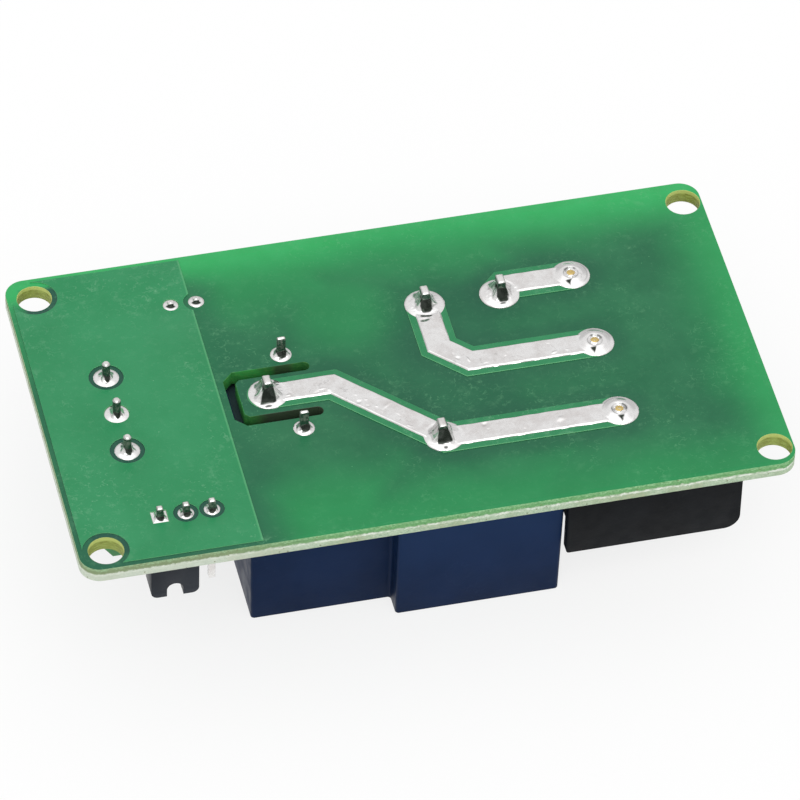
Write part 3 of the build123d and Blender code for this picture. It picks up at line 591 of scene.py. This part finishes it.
# Painted light on the relay's case: lighter towards the board, most on its wide end
RELAY_PAINTED_LIGHT = (RELAY_STEP_X - 0.2 * MM, RELAY_STEP_X + 0.2 * MM, rgb(34, 58, 98))
PLASTICS = {
    "blue_plastic": (rgb(23, 43, 78), rgb(17, 36, 68), 0.4, 0.06, RELAY_PAINTED_LIGHT),
    "black_plastic": (rgb(22, 25, 29), rgb(15, 17, 20), 0.45, 0.08),
    "dark_plastic": (rgb(28, 30, 32), rgb(20, 22, 24), 0.5, 0.15),
    "green_plastic": (rgb(52, 146, 74), rgb(40, 128, 62), 0.35),
    "pale_plastic": (rgb(228, 228, 220), rgb(214, 214, 204), 0.45),
    "cap_plastic": (rgb(48, 53, 61), rgb(40, 44, 51), 0.4, 0.15),
    "relay_base": (rgb(58, 78, 80), rgb(48, 68, 70), 0.45, 0.15),
}
FINISH = {name: moulded(name, *look) for name, look in PLASTICS.items()}
FINISH |= {
    "laminate": MASK,
    "solder_mask": POUR,
    "solder": SOLDER,
    "tinned_pin": tin("tinned_pin", (0.9, 0.89, 0.87, 1.0), 0.2, 0.01, PIN_FLANK_REFLECTIONS, (0.5, 0.85), 0.8),
    "brass": brushed("brass", rgb(214, 188, 122), 0.26),
    "plated_steel": brushed("plated_steel", (0.62, 0.62, 0.63, 1.0), 0.28),
    "red_lens": lens("red_lens", rgb(200, 40, 32), 0.4),
    "clear_lens": lens("clear_lens", rgb(235, 232, 205), 0.2),
}
OWN_FINISH = {"jumper_cap": "cap_plastic", "relay_base": "relay_base"}
SLOT_OF = {part["node"]: part["material_slot"] for part in frame["record"]["subparts"]}


def finish_of(name):
    """A node's own finish, or else its slot's."""
    return FINISH[OWN_FINISH.get(name, SLOT_OF[name])]


def dress_nodes():
    """Every CAD node gets its finish."""
    for name, node in frame["nodes"].items():
        finish = finish_of(name)
        if not node.material_slots:
            node.data.materials.append(finish)
        for slot in node.material_slots:
            slot.material = finish


def add_piece(name, mesh, nodes):
    """A finished mesh as a piece that stands for CAD nodes."""
    piece = placed(name, mesh)
    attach(piece, "root")
    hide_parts(*nodes)


def smooth(mesh, degrees):
    """Shades a mesh smooth, apart from edges sharper than an angle."""
    mesh.polygons.foreach_set("use_smooth", [True] * len(mesh.polygons))
    mesh.set_sharp_from_angle(angle=math.radians(degrees))


# Points closer than this, in metres, are one
MERGE = 1e-7


def put_right(mesh, merge=None):
    """Joins points that are one, where a distance is given, and turns every face outwards."""
    build = bmesh.new()
    build.from_mesh(mesh)
    if merge:
        bmesh.ops.remove_doubles(build, verts=build.verts, dist=merge)
    bmesh.ops.recalc_face_normals(build, faces=build.faces)
    build.to_mesh(mesh)
    build.free()


# Plates: the board and the tracks, with rounded edges
CORNER_STEPS = 12
HOLE_STEPS = 64
SHARPEST_MITRE = 0.3
PLATE_SMOOTH = 40


def arc(centre, radius, start, end, steps):
    """Points along an arc, both ends included."""
    angles = [start + (end - start) * i / steps for i in range(steps + 1)]
    return [(centre[0] + radius * math.cos(a), centre[1] + radius * math.sin(a)) for a in angles]


def stroke(points, half_width, steps=14):
    """The outline of a strip along a line of points, with round ends and mitred bends."""
    legs = [(Vector(after) - Vector(before)).normalized() for before, after in zip(points, points[1:])]
    left, right = [], []
    for point, before, after in zip(points[1:-1], legs, legs[1:]):
        middle = (before + after).normalized()
        across = Vector((-middle.y, middle.x)) * half_width / max(SHARPEST_MITRE, middle.dot(before))
        left.append(tuple(Vector(point) + across))
        right.append(tuple(Vector(point) - across))
    start, end = Vector(points[0]), Vector(points[-1])
    first = math.atan2(*(Vector(points[1]) - start).yx)
    last = math.atan2(*(end - Vector(points[-2])).yx)
    start_round = arc(start, half_width, first + math.pi / 2, first + 1.5 * math.pi, steps)
    end_round = arc(end, half_width, last - math.pi / 2, last + math.pi / 2, steps)
    return right + end_round + left[::-1] + start_round


def plate(name, loops, low, high, bevel, rounds=2):
    """A flat plate between two heights, with rounded edges, from an outline and its holes."""
    data = bpy.data.curves.new(name, "CURVE")
    data.dimensions = "2D"
    data.fill_mode = "BOTH"
    data.extrude = (high - low) / 2 - bevel
    data.bevel_depth = bevel
    data.bevel_resolution = rounds
    data.offset = -bevel
    for loop in loops:
        line = data.splines.new("POLY")
        line.points.add(len(loop) - 1)
        line.points.foreach_set("co", [c for x, y in loop for c in (x, y, 0.0, 1.0)])
        line.use_cyclic_u = True
    holder = bpy.data.objects.new(name, data)
    mesh = bpy.data.meshes.new_from_object(holder)
    bpy.data.objects.remove(holder)
    bpy.data.curves.remove(data)
    mesh.transform(Matrix.Translation((0, 0, (low + high) / 2)))
    put_right(mesh, MERGE)
    mesh.name = name
    smooth(mesh, PLATE_SMOOTH)
    return mesh


def board_outline():
    """The outline of the board, with round corners."""
    left, right = BOARD_LOW.x + BOARD_CORNER, BOARD_HIGH.x - BOARD_CORNER
    low, high = BOARD_LOW.y + BOARD_CORNER, BOARD_HIGH.y - BOARD_CORNER
    quarter = math.pi / 2
    outline = []
    for turn, centre in enumerate([(right, high), (left, high), (left, low), (right, low)]):
        outline += arc(centre, BOARD_CORNER, turn * quarter, (turn + 1) * quarter, CORNER_STEPS)
    return outline


# Level faces have normals more upright than this, and a wall within reach of a hole or the slot is theirs
LEVEL_FROM = 0.75
HOLE_REACH = 1.1 * HOLE_RADIUS
SLOT_REACH = 6 * MM


def wall_finish(face):
    """Which of the board's finishes a wall's face has."""
    x, y = face.center.x, face.center.y
    if any(math.hypot(x - hole_x, y - hole_y) < HOLE_REACH for hole_x, hole_y in HOLES):
        return 2
    by_slot = abs(x - COMMON_PIN.x) < SLOT_REACH and abs(y - COMMON_PIN.y) < SLOT_REACH
    return 3 if by_slot else 1


def make_board():
    """The board with its holes and slot; each kind of wall has its own finish."""
    loops = [board_outline(), stroke(SLOT_LINE, SLOT_CUT)]
    loops += [arc(place, HOLE_RADIUS, 0, math.tau, HOLE_STEPS)[:-1] for place in HOLES]
    mesh = plate("board", loops, COMPONENT_FACE, SOLDER_FACE, BOARD_EDGE)
    for finish in (MASK, EDGE, HOLE, SLOT):
        mesh.materials.append(finish)
    for face in mesh.polygons:
        if abs(face.normal.z) <= LEVEL_FROM:
            face.material_index = wall_finish(face)
    add_piece("board", mesh, ["circuit_board"])


# Rounding: steps across an edge, and the angles of flat faces, sharp edges and smooth shading
ROUND_STEPS = 2
FLAT_BELOW = math.radians(0.5)
SHARP_FROM = math.radians(30)
ROUNDED_SMOOTH = 35


def rounded(name, width):
    """A node's own form with its edges rounded, as a piece that stands for it."""
    build = bmesh.new()
    build.from_mesh(frame["nodes"][name].data)
    bmesh.ops.remove_doubles(build, verts=build.verts, dist=MERGE)
    bmesh.ops.dissolve_limit(build, angle_limit=FLAT_BELOW, verts=build.verts, edges=build.edges)
    if width:
        edges = [e for e in build.edges if len(e.link_faces) == 2 and e.calc_face_angle() > SHARP_FROM]
        bmesh.ops.bevel(
            build, geom=edges, offset=width * MM, segments=ROUND_STEPS,
            profile=0.5, affect="EDGES", clamp_overlap=True,
        )
    bmesh.ops.triangulate(build, faces=build.faces)
    bmesh.ops.recalc_face_normals(build, faces=build.faces)
    mesh = bpy.data.meshes.new(f"{name}_finished")
    build.to_mesh(mesh)
    build.free()
    smooth(mesh, ROUNDED_SMOOTH)
    mesh.materials.append(finish_of(name))
    add_piece(f"{name}_finished", mesh, [name])


TRACK_EDGE = 0.08 * MM
TRACK_EDGE_STEPS = 3


def make_tracks():
    """The masked copper of the three tracks."""
    for name, route in ROUTES.items():
        outline = [(x * MM, y * MM) for x, y in stroke(route, TRACK_HALF)]
        top = SOLDER_FACE + COPPER
        mesh = plate(f"track_{name}", [outline], SOLDER_FACE, top, TRACK_EDGE, TRACK_EDGE_STEPS)
        mesh.materials.append(TRACK)
        add_piece(f"track_{name}_finished", mesh, [f"track_{name}"])


def waves(x, y, size, seed, count=7):
    """Smooth waves of about a size in millimetres, from -1 to 1."""
    pick = np.random.default_rng(seed)
    total = np.zeros_like(x)
    for _ in range(count):
        turn, shift = pick.uniform(0, math.tau, 2)
        pace = math.tau / (size * pick.uniform(0.7, 1.5))
        total += np.sin((x * math.cos(turn) + y * math.sin(turn)) * pace + shift)
    return total / count


def within(x, y, outline):
    """How far inside an outline each point lies; negative outside."""
    nearest = np.full(x.shape, np.inf)
    inside = np.zeros(x.shape, bool)
    for (ax, ay), (bx, by) in zip(outline, outline[1:] + outline[:1]):
        length = (bx - ax) ** 2 + (by - ay) ** 2
        along = np.clip(((x - ax) * (bx - ax) + (y - ay) * (by - ay)) / length, 0, 1)
        nearest = np.minimum(nearest, np.hypot(x - ax - along * (bx - ax), y - ay - along * (by - ay)))
        if ay != by:
            crosses = (ay > y) != (by > y)
            inside ^= crosses & (x < (bx - ax) * (y - ay) / (by - ay) + ax)
    return np.where(inside, nearest, -nearest)


def step(value, low, high):
    """A smooth step from 0 to 1."""
    t = np.clip((value - low) / (high - low), 0, 1)
    return t * t * (3 - 2 * t)


def edge_round(depth, width):
    """The round shoulder of a sheet: 0 at its outline, 1 from a width inwards."""
    t = np.clip(depth / width, 0, 1)
    return np.sqrt(1 - (1 - t) ** 2)


class Joint:
    """A solder joint: its pin's place, its pad, which may lie a little aside, and its heap of solder."""

    LIP = 0.08
    LIP_WIDTH = 0.22
    ROUGHNESS = 0.012

    def __init__(self, place, pad, half, rise, reach, dish, seed, shift=(0, 0), square=False):
        self.x, self.y = place
        self.pad_x, self.pad_y = place[0] + shift[0], place[1] + shift[1]
        self.pad, self.half = pad, half
        self.rise, self.reach, self.dish = rise, reach, dish
        self.seed, self.square = seed, square
        self.lean = np.random.default_rng(seed).uniform(-0.25, 0.25)

    def depth(self, x, y):
        """How far inside the pad's rim each point lies."""
        if self.square:
            return np.minimum(self.pad - abs(x - self.pad_x), self.pad - abs(y - self.pad_y))
        return self.pad - np.hypot(x - self.pad_x, y - self.pad_y)

    def from_pin(self, x, y):
        """How far each point is from the pin's middle, and which way it lies."""
        over_x, over_y = x - self.x, y - self.y
        return np.hypot(over_x, over_y), np.arctan2(over_y, over_x)

    def ground(self, x, y):
        """The joint's lip, the cone that it rises in towards its middle, and its roughness."""
        depth = self.depth(x, y)
        lip = self.LIP * edge_round(depth, self.LIP_WIDTH)
        cone = self.dish * np.clip(depth / self.pad, 0, 1) ** 1.1
        rough = self.ROUGHNESS * waves(x, y, 0.9, self.seed) * step(depth, 0.0, 0.3)
        return lip, cone, rough


class Fillet(Joint):
    """Solder drawn up a pin, with painted dark reflection in a wedge on its near side and in small spots."""

    def __init__(self, *sizes, wedge=None, spots=(), **settings):
        super().__init__(*sizes, **settings)
        self.wedge = wedge or (1.45 * self.reach, -0.6)
        self.spots = spots

    def near_pin(self, x, y):
        """How far each point is from the pin's side, which way it lies, and the heap's reach there."""
        over_x = np.maximum(abs(x - self.x) - self.half[0], 0)
        over_y = np.maximum(abs(y - self.y) - self.half[1], 0)
        turn = self.from_pin(x, y)[1]
        spread = self.reach * (1 + 0.2 * np.sin(3 * turn + self.seed) + 0.12 * np.sin(5 * turn - self.seed))
        return np.hypot(over_x, over_y), turn, spread

    def height(self, x, y):
        lip, cone, rough = self.ground(x, y)
        gap, turn, spread = self.near_pin(x, y)
        uneven = 0.92 + 0.08 * np.sin(2 * turn + self.seed)
        smear = 0.02 * waves(x, y, 0.45, self.seed + 40) * step(self.depth(x, y), 0.2, 0.7)
        return lip + cone + rough + smear + self.rise * uneven * np.clip(1 - gap / spread, 0, 1) ** 1.4

    def stain_and_dark_reflection(self, x, y):
        """Where painted dark reflection darkens the solder, from 0 to 1."""
        gap, turn, spread = self.near_pin(x, y)
        streaks = step(np.sin(4 * turn + 3 * self.seed), 0.86, 1.0)
        streaks = 0.5 * streaks * (1 - step(gap, spread * 0.5, spread * 1.4))
        dark = np.maximum(self.near_wedge(x, y), streaks) * step(self.depth(x, y), 0.05, 0.2)
        for over_x, over_y, half_x, half_y in self.spots:
            far = np.hypot((x - self.pad_x - over_x) / half_x, (y - self.pad_y - over_y) / half_y)
            dark = np.maximum(dark, 0.85 * (1 - step(far, 0.8, 1.15)))
        return dark

    def near_wedge(self, x, y):
        """The wedge of painted dark reflection below the pin."""
        length, flare = self.wedge
        along = (self.y - self.half[1] - y) / length
        down = np.clip(along, 0, 1)
        blur = 0.35 * self.half[0] * waves(x, y, 0.5, self.seed + 60)
        aside = abs(x - self.x - self.lean * length * down - blur)
        wide = self.half[0] * (1.3 + flare * down - 1.3 * down**5)
        return step(wide - aside, -0.06, 0.06) * step(along, -1.2, -0.4) * (1 - step(along, 0.85, 1.1))


class Dome(Joint):
    """A low dome over a cut lead."""

    def height(self, x, y):
        lip, cone, rough = self.ground(x, y)
        away = self.from_pin(x, y)[0]
        return lip + cone + rough + self.rise * (1 - step(away, self.reach * 0.35, self.reach))

    def stain_and_dark_reflection(self, x, y):
        """Painted dark reflection: a crescent on the near side."""
        away, turn = self.from_pin(x, y)
        near = step(-np.sin(turn + self.lean), 0.1, 0.7)
        inner, outer = self.reach * 0.55, self.reach * 1.65
        crescent = step(away, inner - 0.05, inner + 0.05) * (1 - step(away, outer - 0.08, outer + 0.08))
        return crescent * step(near, 0.35, 0.95)


class Crater(Joint):
    """A ring of solder round a hollow, in which a pin's end shows inside a collar, with a thread across."""

    COLLAR_RADIUS = 0.46
    WALL_OUTER = 0.04
    WALL_INNER = 0.24

    def height(self, x, y):
        lip, _, rough = self.ground(x, y)
        away = self.from_pin(x, y)[0]
        dome = self.rise * step(self.depth(x, y), 0.0, self.pad - self.reach)
        basin = self.dish * (1 - step(away, self.reach - self.WALL_INNER, self.reach - self.WALL_OUTER))
        hollow = 0.14 * (1 - step(away, 0.32, 0.42))
        collar = 0.2 * np.exp(-(((away - self.COLLAR_RADIUS) / 0.09) ** 2)) - hollow
        across = (x - self.x) * math.sin(self.seed) + (y - self.y) * math.cos(self.seed)
        thread = 0.33 * np.exp(-((across / 0.05) ** 2) - (away / 0.4) ** 2)
        return lip + dome + rough - basin + collar + thread

    def stain_and_dark_reflection(self, x, y):
        """Painted dark reflection: a tooth on the near side, and broken lines along the hollow and the rim.
        """
        away, turn = self.from_pin(x, y)
        aside = (x - self.x - self.lean + 0.25) / 0.42 + 0.25 * waves(x, y, 0.5, self.seed + 60)
        down = (y - self.y + self.reach + 0.4) / 0.4
        tooth = step((down + 1.0) / 2 - abs(aside), -0.1, 0.3) * step(1.0 - down, 0.0, 0.4)
        part = step(np.sin(2 * turn + self.seed), -0.7, 0.1)
        arc_line = np.exp(-(((away - self.reach + 0.14) / 0.09) ** 2)) * part
        by_rim = np.exp(-(((self.depth(x, y) - 0.3) / 0.07) ** 2))
        rim_line = by_rim * step(np.sin(turn - self.seed), 0.5, 0.9)
        return np.maximum.reduce([tooth, 0.8 * arc_line, 0.35 * rim_line])


class Sheet:
    """A sheet of solder over a route and its joints: how far inside it a point lies, and how high it is."""

    STRIP_STEPS = 10
    BLEND = 0.03
    THINNEST = 0.01
    ROOM = 0.3
    SNAP = 0.72

    def __init__(self, joints, route, marks):
        self.joints, self.marks = joints, marks
        self.outline = stroke(route, TINNED_HALF, self.STRIP_STEPS) if route else None

    def strip_depth(self, x, y):
        """How far inside the strip's slightly wavy outline each point lies."""
        return within(x, y, self.outline) + 0.01 * waves(x, y, 1.6, 17)

    def depth(self, x, y):
        """How far inside the sheet each point lies."""
        deepest = self.strip_depth(x, y) if self.outline else np.full(x.shape, -np.inf)
        for joint in self.joints:
            deepest = np.maximum(deepest, joint.depth(x, y))
        return deepest

    def strip_height(self, x, y):
        """The strip's wavy top with its shoulder, drips and dents, sunk where the joints are."""
        depth = self.strip_depth(x, y)
        shoulder = 0.18 + 0.07 * waves(x, y, 2.2, 23)
        ripple = waves(x, y, 0.6, 5) * step(-depth, -0.7, -0.1) * 0.004
        level = TINNED_RISE + 0.035 * waves(x, y, 2.6, 3) + 0.003 * waves(x, y, 0.4, 31)
        inwards = np.clip(depth / shoulder, 0, 1)
        top = level * inwards * (2 - inwards) + ripple
        for joint in self.joints:
            top *= step(joint.depth(x, y), joint.pad * 0.5, 0.0)
        for mark_x, mark_y, long, wide, turn, rise in self.marks:
            along = (x - mark_x) * math.cos(turn) + (y - mark_y) * math.sin(turn)
            across = (y - mark_y) * math.cos(turn) - (x - mark_x) * math.sin(turn)
            top += rise * np.exp(-((along / long) ** 2) - (across / wide) ** 2)
        return top

    def height(self, x, y):
        """The sheet's top: the strip and the joints, blended where they meet."""
        top = self.strip_height(x, y) if self.outline else np.zeros_like(x)
        for joint in self.joints:
            other = np.where(joint.depth(x, y) > 0, joint.height(x, y), 0.0)
            top = (top + other + np.sqrt((top - other) ** 2 + self.BLEND**2) - self.BLEND) / 2
        return np.maximum(top, self.THINNEST)

    def grid(self, low, high, spacing):
        """A square grid over a box, its points by the outline moved onto it, and which points are kept."""
        room = self.ROOM + 2 * spacing
        xs = np.arange(low.x / MM - room, high.x / MM + room, spacing)
        ys = np.arange(low.y / MM - room, high.y / MM + room, spacing)
        x, y = np.meshgrid(xs, ys, indexing="ij")
        depth = self.depth(x, y)
        tiny = spacing * 0.01
        slope_x = (self.depth(x + tiny, y) - self.depth(x - tiny, y)) / (2 * tiny)
        slope_y = (self.depth(x, y + tiny) - self.depth(x, y - tiny)) / (2 * tiny)
        near = abs(depth) < spacing * self.SNAP
        x = np.where(near, x - slope_x * depth, x)
        y = np.where(near, y - slope_y * depth, y)
        return x, y, depth > -spacing * self.SNAP


def cell_corners(grid):
    """A grid's values at the four corners of its cells, in order round each cell."""
    return grid[:-1, :-1], grid[1:, :-1], grid[1:, 1:], grid[:-1, 1:]


def sheet_faces(kept):
    """Which points of a grid a closed sheet uses, and its faces: top, under side and rim."""
    cells = np.logical_and.reduce(cell_corners(kept))
    used = np.zeros_like(kept)
    for corner in cell_corners(used):
        corner |= cells
    count = int(used.sum())
    number = np.full(kept.shape, -1)
    number[used] = np.arange(count)
    above = np.stack([corner[cells] for corner in cell_corners(number)], 1)
    below = above[:, ::-1] + count
    sides = np.concatenate([above[:, [i, (i + 1) % 4]] for i in range(4)])
    pairs = {(p, q) for p, q in sides.tolist()}
    rim = [(p, p + count, q + count, q) for p, q in pairs if (q, p) not in pairs]
    return used, above.tolist() + below.tolist() + rim


def paint(mesh, joints, x, y):
    """How much painted dark reflection and how clean the solder is at each point of a sheet's top."""
    stain_and_dark_reflection, clean, under = np.zeros_like(x), np.zeros_like(x), np.zeros_like(x)
    for joint in joints:
        depth = joint.depth(x, y)
        stain_and_dark_reflection = np.maximum(stain_and_dark_reflection, np.where(depth > 0, joint.stain_and_dark_reflection(x, y), 0.0))
        clean = np.maximum(clean, step(depth, 0.0, 0.3))
    for label, values in (("stain_and_dark_reflection", stain_and_dark_reflection), ("clean", clean)):
        painted = mesh.attributes.new(label, "FLOAT", "POINT")
        painted.data.foreach_set("value", np.concatenate([values, under]).astype(np.float32))


# Spacings of the sheets' grids, in millimetres
FINE = 0.035
MEDIUM = 0.04
COARSE = 0.06
SHEET_SMOOTH = 70


def solder_sheet(name, joints, spacing, route=None, marks=(), base=0.0):
    """A closed sheet of solder over a route and its joints, its top as a field of heights."""
    sheet = Sheet(joints, route, marks)
    x, y, kept = sheet.grid(*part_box(name), spacing)
    used, faces = sheet_faces(kept)
    x, y = x[used], y[used]
    board_top = SOLDER_FACE / MM
    top = sheet.height(x, y) + base + board_top
    under = np.full(len(x), board_top)
    points = np.concatenate([np.stack([x, y, top], 1), np.stack([x, y, under], 1)]) * MM
    mesh = bpy.data.meshes.new(f"{name}_finished")
    mesh.from_pydata(points.tolist(), [], faces)
    put_right(mesh)
    paint(mesh, joints, x, y)
    smooth(mesh, SHEET_SMOOTH)
    mesh.materials.append(SOLDER)
    add_piece(f"{name}_finished", mesh, [name])


# Half sizes of the pins, and sizes of the pads
CONTACT_PIN = (0.4, 0.65)
COIL_PIN = (0.43, 0.225)
HEADER_PIN = (0.32, 0.32)
INPUT_PIN = (0.28, 0.28)
LEAD = (0, 0)
CONTACT_PAD = 2.0
CONTACT_DISH = 0.5
COIL_PAD = 1.05
SMALL_PAD = 0.8


def contact_joint(place, rise, reach, seed, shift, wedge, spots=()):
    """The joint of one of the relay's contact pins."""
    sizes = (place, CONTACT_PAD, CONTACT_PIN, rise, reach, CONTACT_DISH, seed, shift)
    return Fillet(*sizes, wedge=wedge, spots=spots)


def output_joint(row):
    """The joint of one of the output terminal's pins."""
    return Crater((OUTPUT_X, OUTPUT_Y[row]), OUTPUT_PAD, CONTACT_PIN, 0.34, 0.84, 0.2, row + 11)


def scattered_marks(route, count, seed):
    """Small drips and dents of the solder, most of them towards the strip's near edge."""
    pick = np.random.default_rng(seed)
    marks = []
    for _ in range(count):
        leg = pick.integers(len(route) - 1)
        start, end = Vector(route[leg]), Vector(route[leg + 1])
        along = (end - start).normalized()
        across = Vector((-along.y, along.x)) * (1 if along.x >= 0 else -1)
        spot = start.lerp(end, pick.random()) + across * pick.triangular(-1.15, -0.9, 0.9)
        turn = math.atan2(along.y, along.x) + pick.normal(0, 0.5)
        long, wide = pick.uniform(0.14, 0.5), pick.uniform(0.07, 0.13)
        marks.append((spot.x, spot.y, long, wide, turn, pick.choice((-1, 1)) * pick.uniform(0.015, 0.045)))
    return marks


# Marks of the photographed strips: place, length, width, turn and rise
CLOSED_MARKS = [
    (6.9, 0.6, 0.9, 0.09, 1.45, -0.05),
    (15.5, -0.9, 0.35, 0.12, 0.3, 0.06),
    (4.2, 6.1, 0.5, 0.22, 0.1, -0.045),
]
COMMON_MARKS = [
    (-2.1, -4.5, 0.6, 0.16, 0.6, 0.045),
    (-4.6, -3.5, 0.3, 0.2, 0.0, -0.07),
    (13.9, -9.7, 0.5, 0.3, 0.2, 0.09),
    (6.5, -8.9, 0.3, 0.25, 0.0, -0.08),
]


# Spots of painted dark reflection on the contact pads: place from the pad's middle and half sizes, in
# millimetres
OPEN_SPOTS = [(0.0, -1.5, 0.32, 0.09)]
COMMON_A_SPOTS = [(-0.34, -1.7, 0.36, 0.12)]
COMMON_B_SPOTS = [(-0.2, -1.6, 0.2, 0.16)]


def solder_tracks():
    """The tinned strips of the three tracks, with the joints on them."""
    joints = {
        "open": [contact_joint(OPEN, 0.95, 0.66, 1, (-0.1, -0.2), (0.95, 0.4), OPEN_SPOTS)],
        "closed": [contact_joint(CLOSED, 0.95, 0.64, 2, (0.0, -0.14), (0.85, 0.4))],
        "common": [
            contact_joint(COMMON_A, 1.35, 0.8, 3, (0.15, 0.0), (0.8, 1.3), COMMON_A_SPOTS),
            contact_joint(COMMON_B, 1.25, 0.74, 5, (0.2, -0.15), (0.75, 1.0), COMMON_B_SPOTS),
        ],
    }
    own_marks = {"open": [], "closed": CLOSED_MARKS, "common": COMMON_MARKS}
    mark_counts = {"open": 6, "closed": 13, "common": 24}
    for row, (name, route) in enumerate(ROUTES.items()):
        marks = own_marks[name] + scattered_marks(route, mark_counts[name], row + 1)
        solder_sheet(f"solder_{name}", joints[name] + [output_joint(row)], COARSE, route, marks, COPPER_MM)


def solder_pins():
    """The joints of the coil, the input terminal, the header and the lamp."""
    coils, inputs, headers, leads = [], [], [], []
    for side in "ab":
        place = place_mm(f"relay_pin_coil_{side}")
        coils.append(Fillet(place, COIL_PAD, COIL_PIN, 0.5, 0.36, 0.27, ord(side)))
    input_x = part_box("solder_input")[1].x / MM - INPUT_PAD
    for row in (1, 2, 3):
        place = (input_x, place_mm(f"input_contact_{row}")[1])
        inputs.append(Fillet(place, INPUT_PAD, INPUT_PIN, 0.55, 0.42, 0.34, row + 6))
        place = place_mm(f"header_pin_{row}")
        headers.append(Fillet(place, SMALL_PAD, HEADER_PIN, 0.32, 0.26, 0.18, row + 8, square=row == 1))
    for side in (1, 2):
        leads.append(Dome(place_mm(f"led_lead_{side}"), SMALL_PAD, LEAD, 0.2, 0.34, 0.24, side + 3))
    solder_sheet("solder_coil", coils, MEDIUM)
    solder_sheet("solder_input", inputs, MEDIUM)
    solder_sheet("solder_header", headers, FINE)
    solder_sheet("solder_led", leads, FINE)


# How far edges are rounded, in millimetres, and how the names of such nodes start
ROUNDED = {
    0.12: ("output_housing", "jumper_cap"),
    0.1: ("relay_case", "input_housing", "header_base"),
    0.09: ("ground_pour",),
    0.08: ("output_clamp_",),
    0.07: ("relay_pin_",),
    0.06: ("input_cage_", "header_pin_", "coupler_body"),
    0.05: ("output_contact_", "output_screw_", "input_screw_", "diode_body"),
    0.04: ("input_contact_", "transistor_body"),
    0.03: ("power_lamp",),
    0.02: ("resistor_bodies", "resistor_caps"),
    0.0: ("led_lens",),
}


def round_nodes():
    """A rounded piece for each node of the list."""
    for width, starts in ROUNDED.items():
        for name in frame["nodes"]:
            if name.startswith(starts):
                rounded(name, width)


# Stage and light
FLOOR_HALF = 3.0
FLOOR_GLOW = 0.8
WHITE = (1.0, 1.0, 1.0, 1.0)
LAMP_PLACE = (-0.12, -0.75, 1.05)
LAMP_SIZE = (1.1, 0.8)
LAMP_POWER = 5.4
SKY_LEVEL = 0.83
SKY_DARK = 0.03
SKY_OVERHEAD = 0.45
SKY_BEHIND = 0.7


def paper():
    """A pale floor that the camera and the reflections see as nearly white."""
    skin = Surface("floor", (0.9, 0.9, 0.9, 1.0), 0.9, gloss=0.2)
    rays = skin.node("LightPath").outputs
    seen = skin.most(rays["Is Camera Ray"], rays["Is Glossy Ray"])
    seen = skin.times(skin.most(seen, rays["Is Transmission Ray"]), FLOOR_GLOW)
    glow = skin.node("Emission", {"Color": WHITE}).outputs[0]
    blend = skin.node("MixShader", {0: seen, 1: skin.shader.outputs[0], 2: glow})
    skin.set(skin.tree.nodes["Material Output"], "Surface", blend.outputs[0])
    return skin.material


def make_floor():
    """A square floor under the part."""
    corners = [(x * FLOOR_HALF, y * FLOOR_HALF, 0) for x, y in ((-1, -1), (1, -1), (1, 1), (-1, 1))]
    mesh = bpy.data.meshes.new("floor")
    mesh.from_pydata(corners, [], [(0, 1, 2, 3)])
    mesh.materials.append(paper())
    placed("floor", mesh)


def make_world():
    """A bright studio: dark low down in front, brightest overhead."""
    world = bpy.data.worlds.new("studio")
    bpy.context.scene.world = world
    world.use_nodes = True
    nodes = Nodes(world.node_tree)
    _, y, z = nodes.axes(nodes.node("TexCoord").outputs["Generated"])
    front = nodes.band(y, -0.55, 0.1, 1.0, 0.0)
    low_down = nodes.band(z, 0.12, 0.4, 1.0, 0.0)
    overhead = nodes.band(z, 0.75, 0.96, 0.0, SKY_OVERHEAD)
    behind = nodes.times(nodes.band(y, 0.0, 0.5), nodes.band(z, 0.2, 0.68, 1.0, 0.0))
    level = nodes.band(nodes.times(front, low_down), 0.0, 1.0, SKY_LEVEL, SKY_DARK)
    level = nodes.times(level, nodes.band(behind, 0.0, 1.0, 1.0, SKY_BEHIND))
    sky = nodes.tree.nodes["Background"]
    nodes.set(sky, "Color", WHITE)
    nodes.set(sky, "Strength", nodes.plus(level, overhead))


def make_lamp():
    """A soft lamp above and in front, turned to the part."""
    data = bpy.data.lights.new("key", "AREA")
    data.shape = "RECTANGLE"
    data.size, data.size_y = LAMP_SIZE
    data.energy = LAMP_POWER
    lamp = placed("key", data)
    lamp.location = LAMP_PLACE
    lamp.rotation_mode = "QUATERNION"
    lamp.rotation_quaternion = (-Vector(LAMP_PLACE)).to_track_quat("-Z", "Y")


make_camera()
dress_nodes()
make_board()
make_tracks()
solder_tracks()
solder_pins()
round_nodes()
make_floor()
make_world()
make_lamp()
bpy.context.scene.view_settings.view_transform = "Standard"
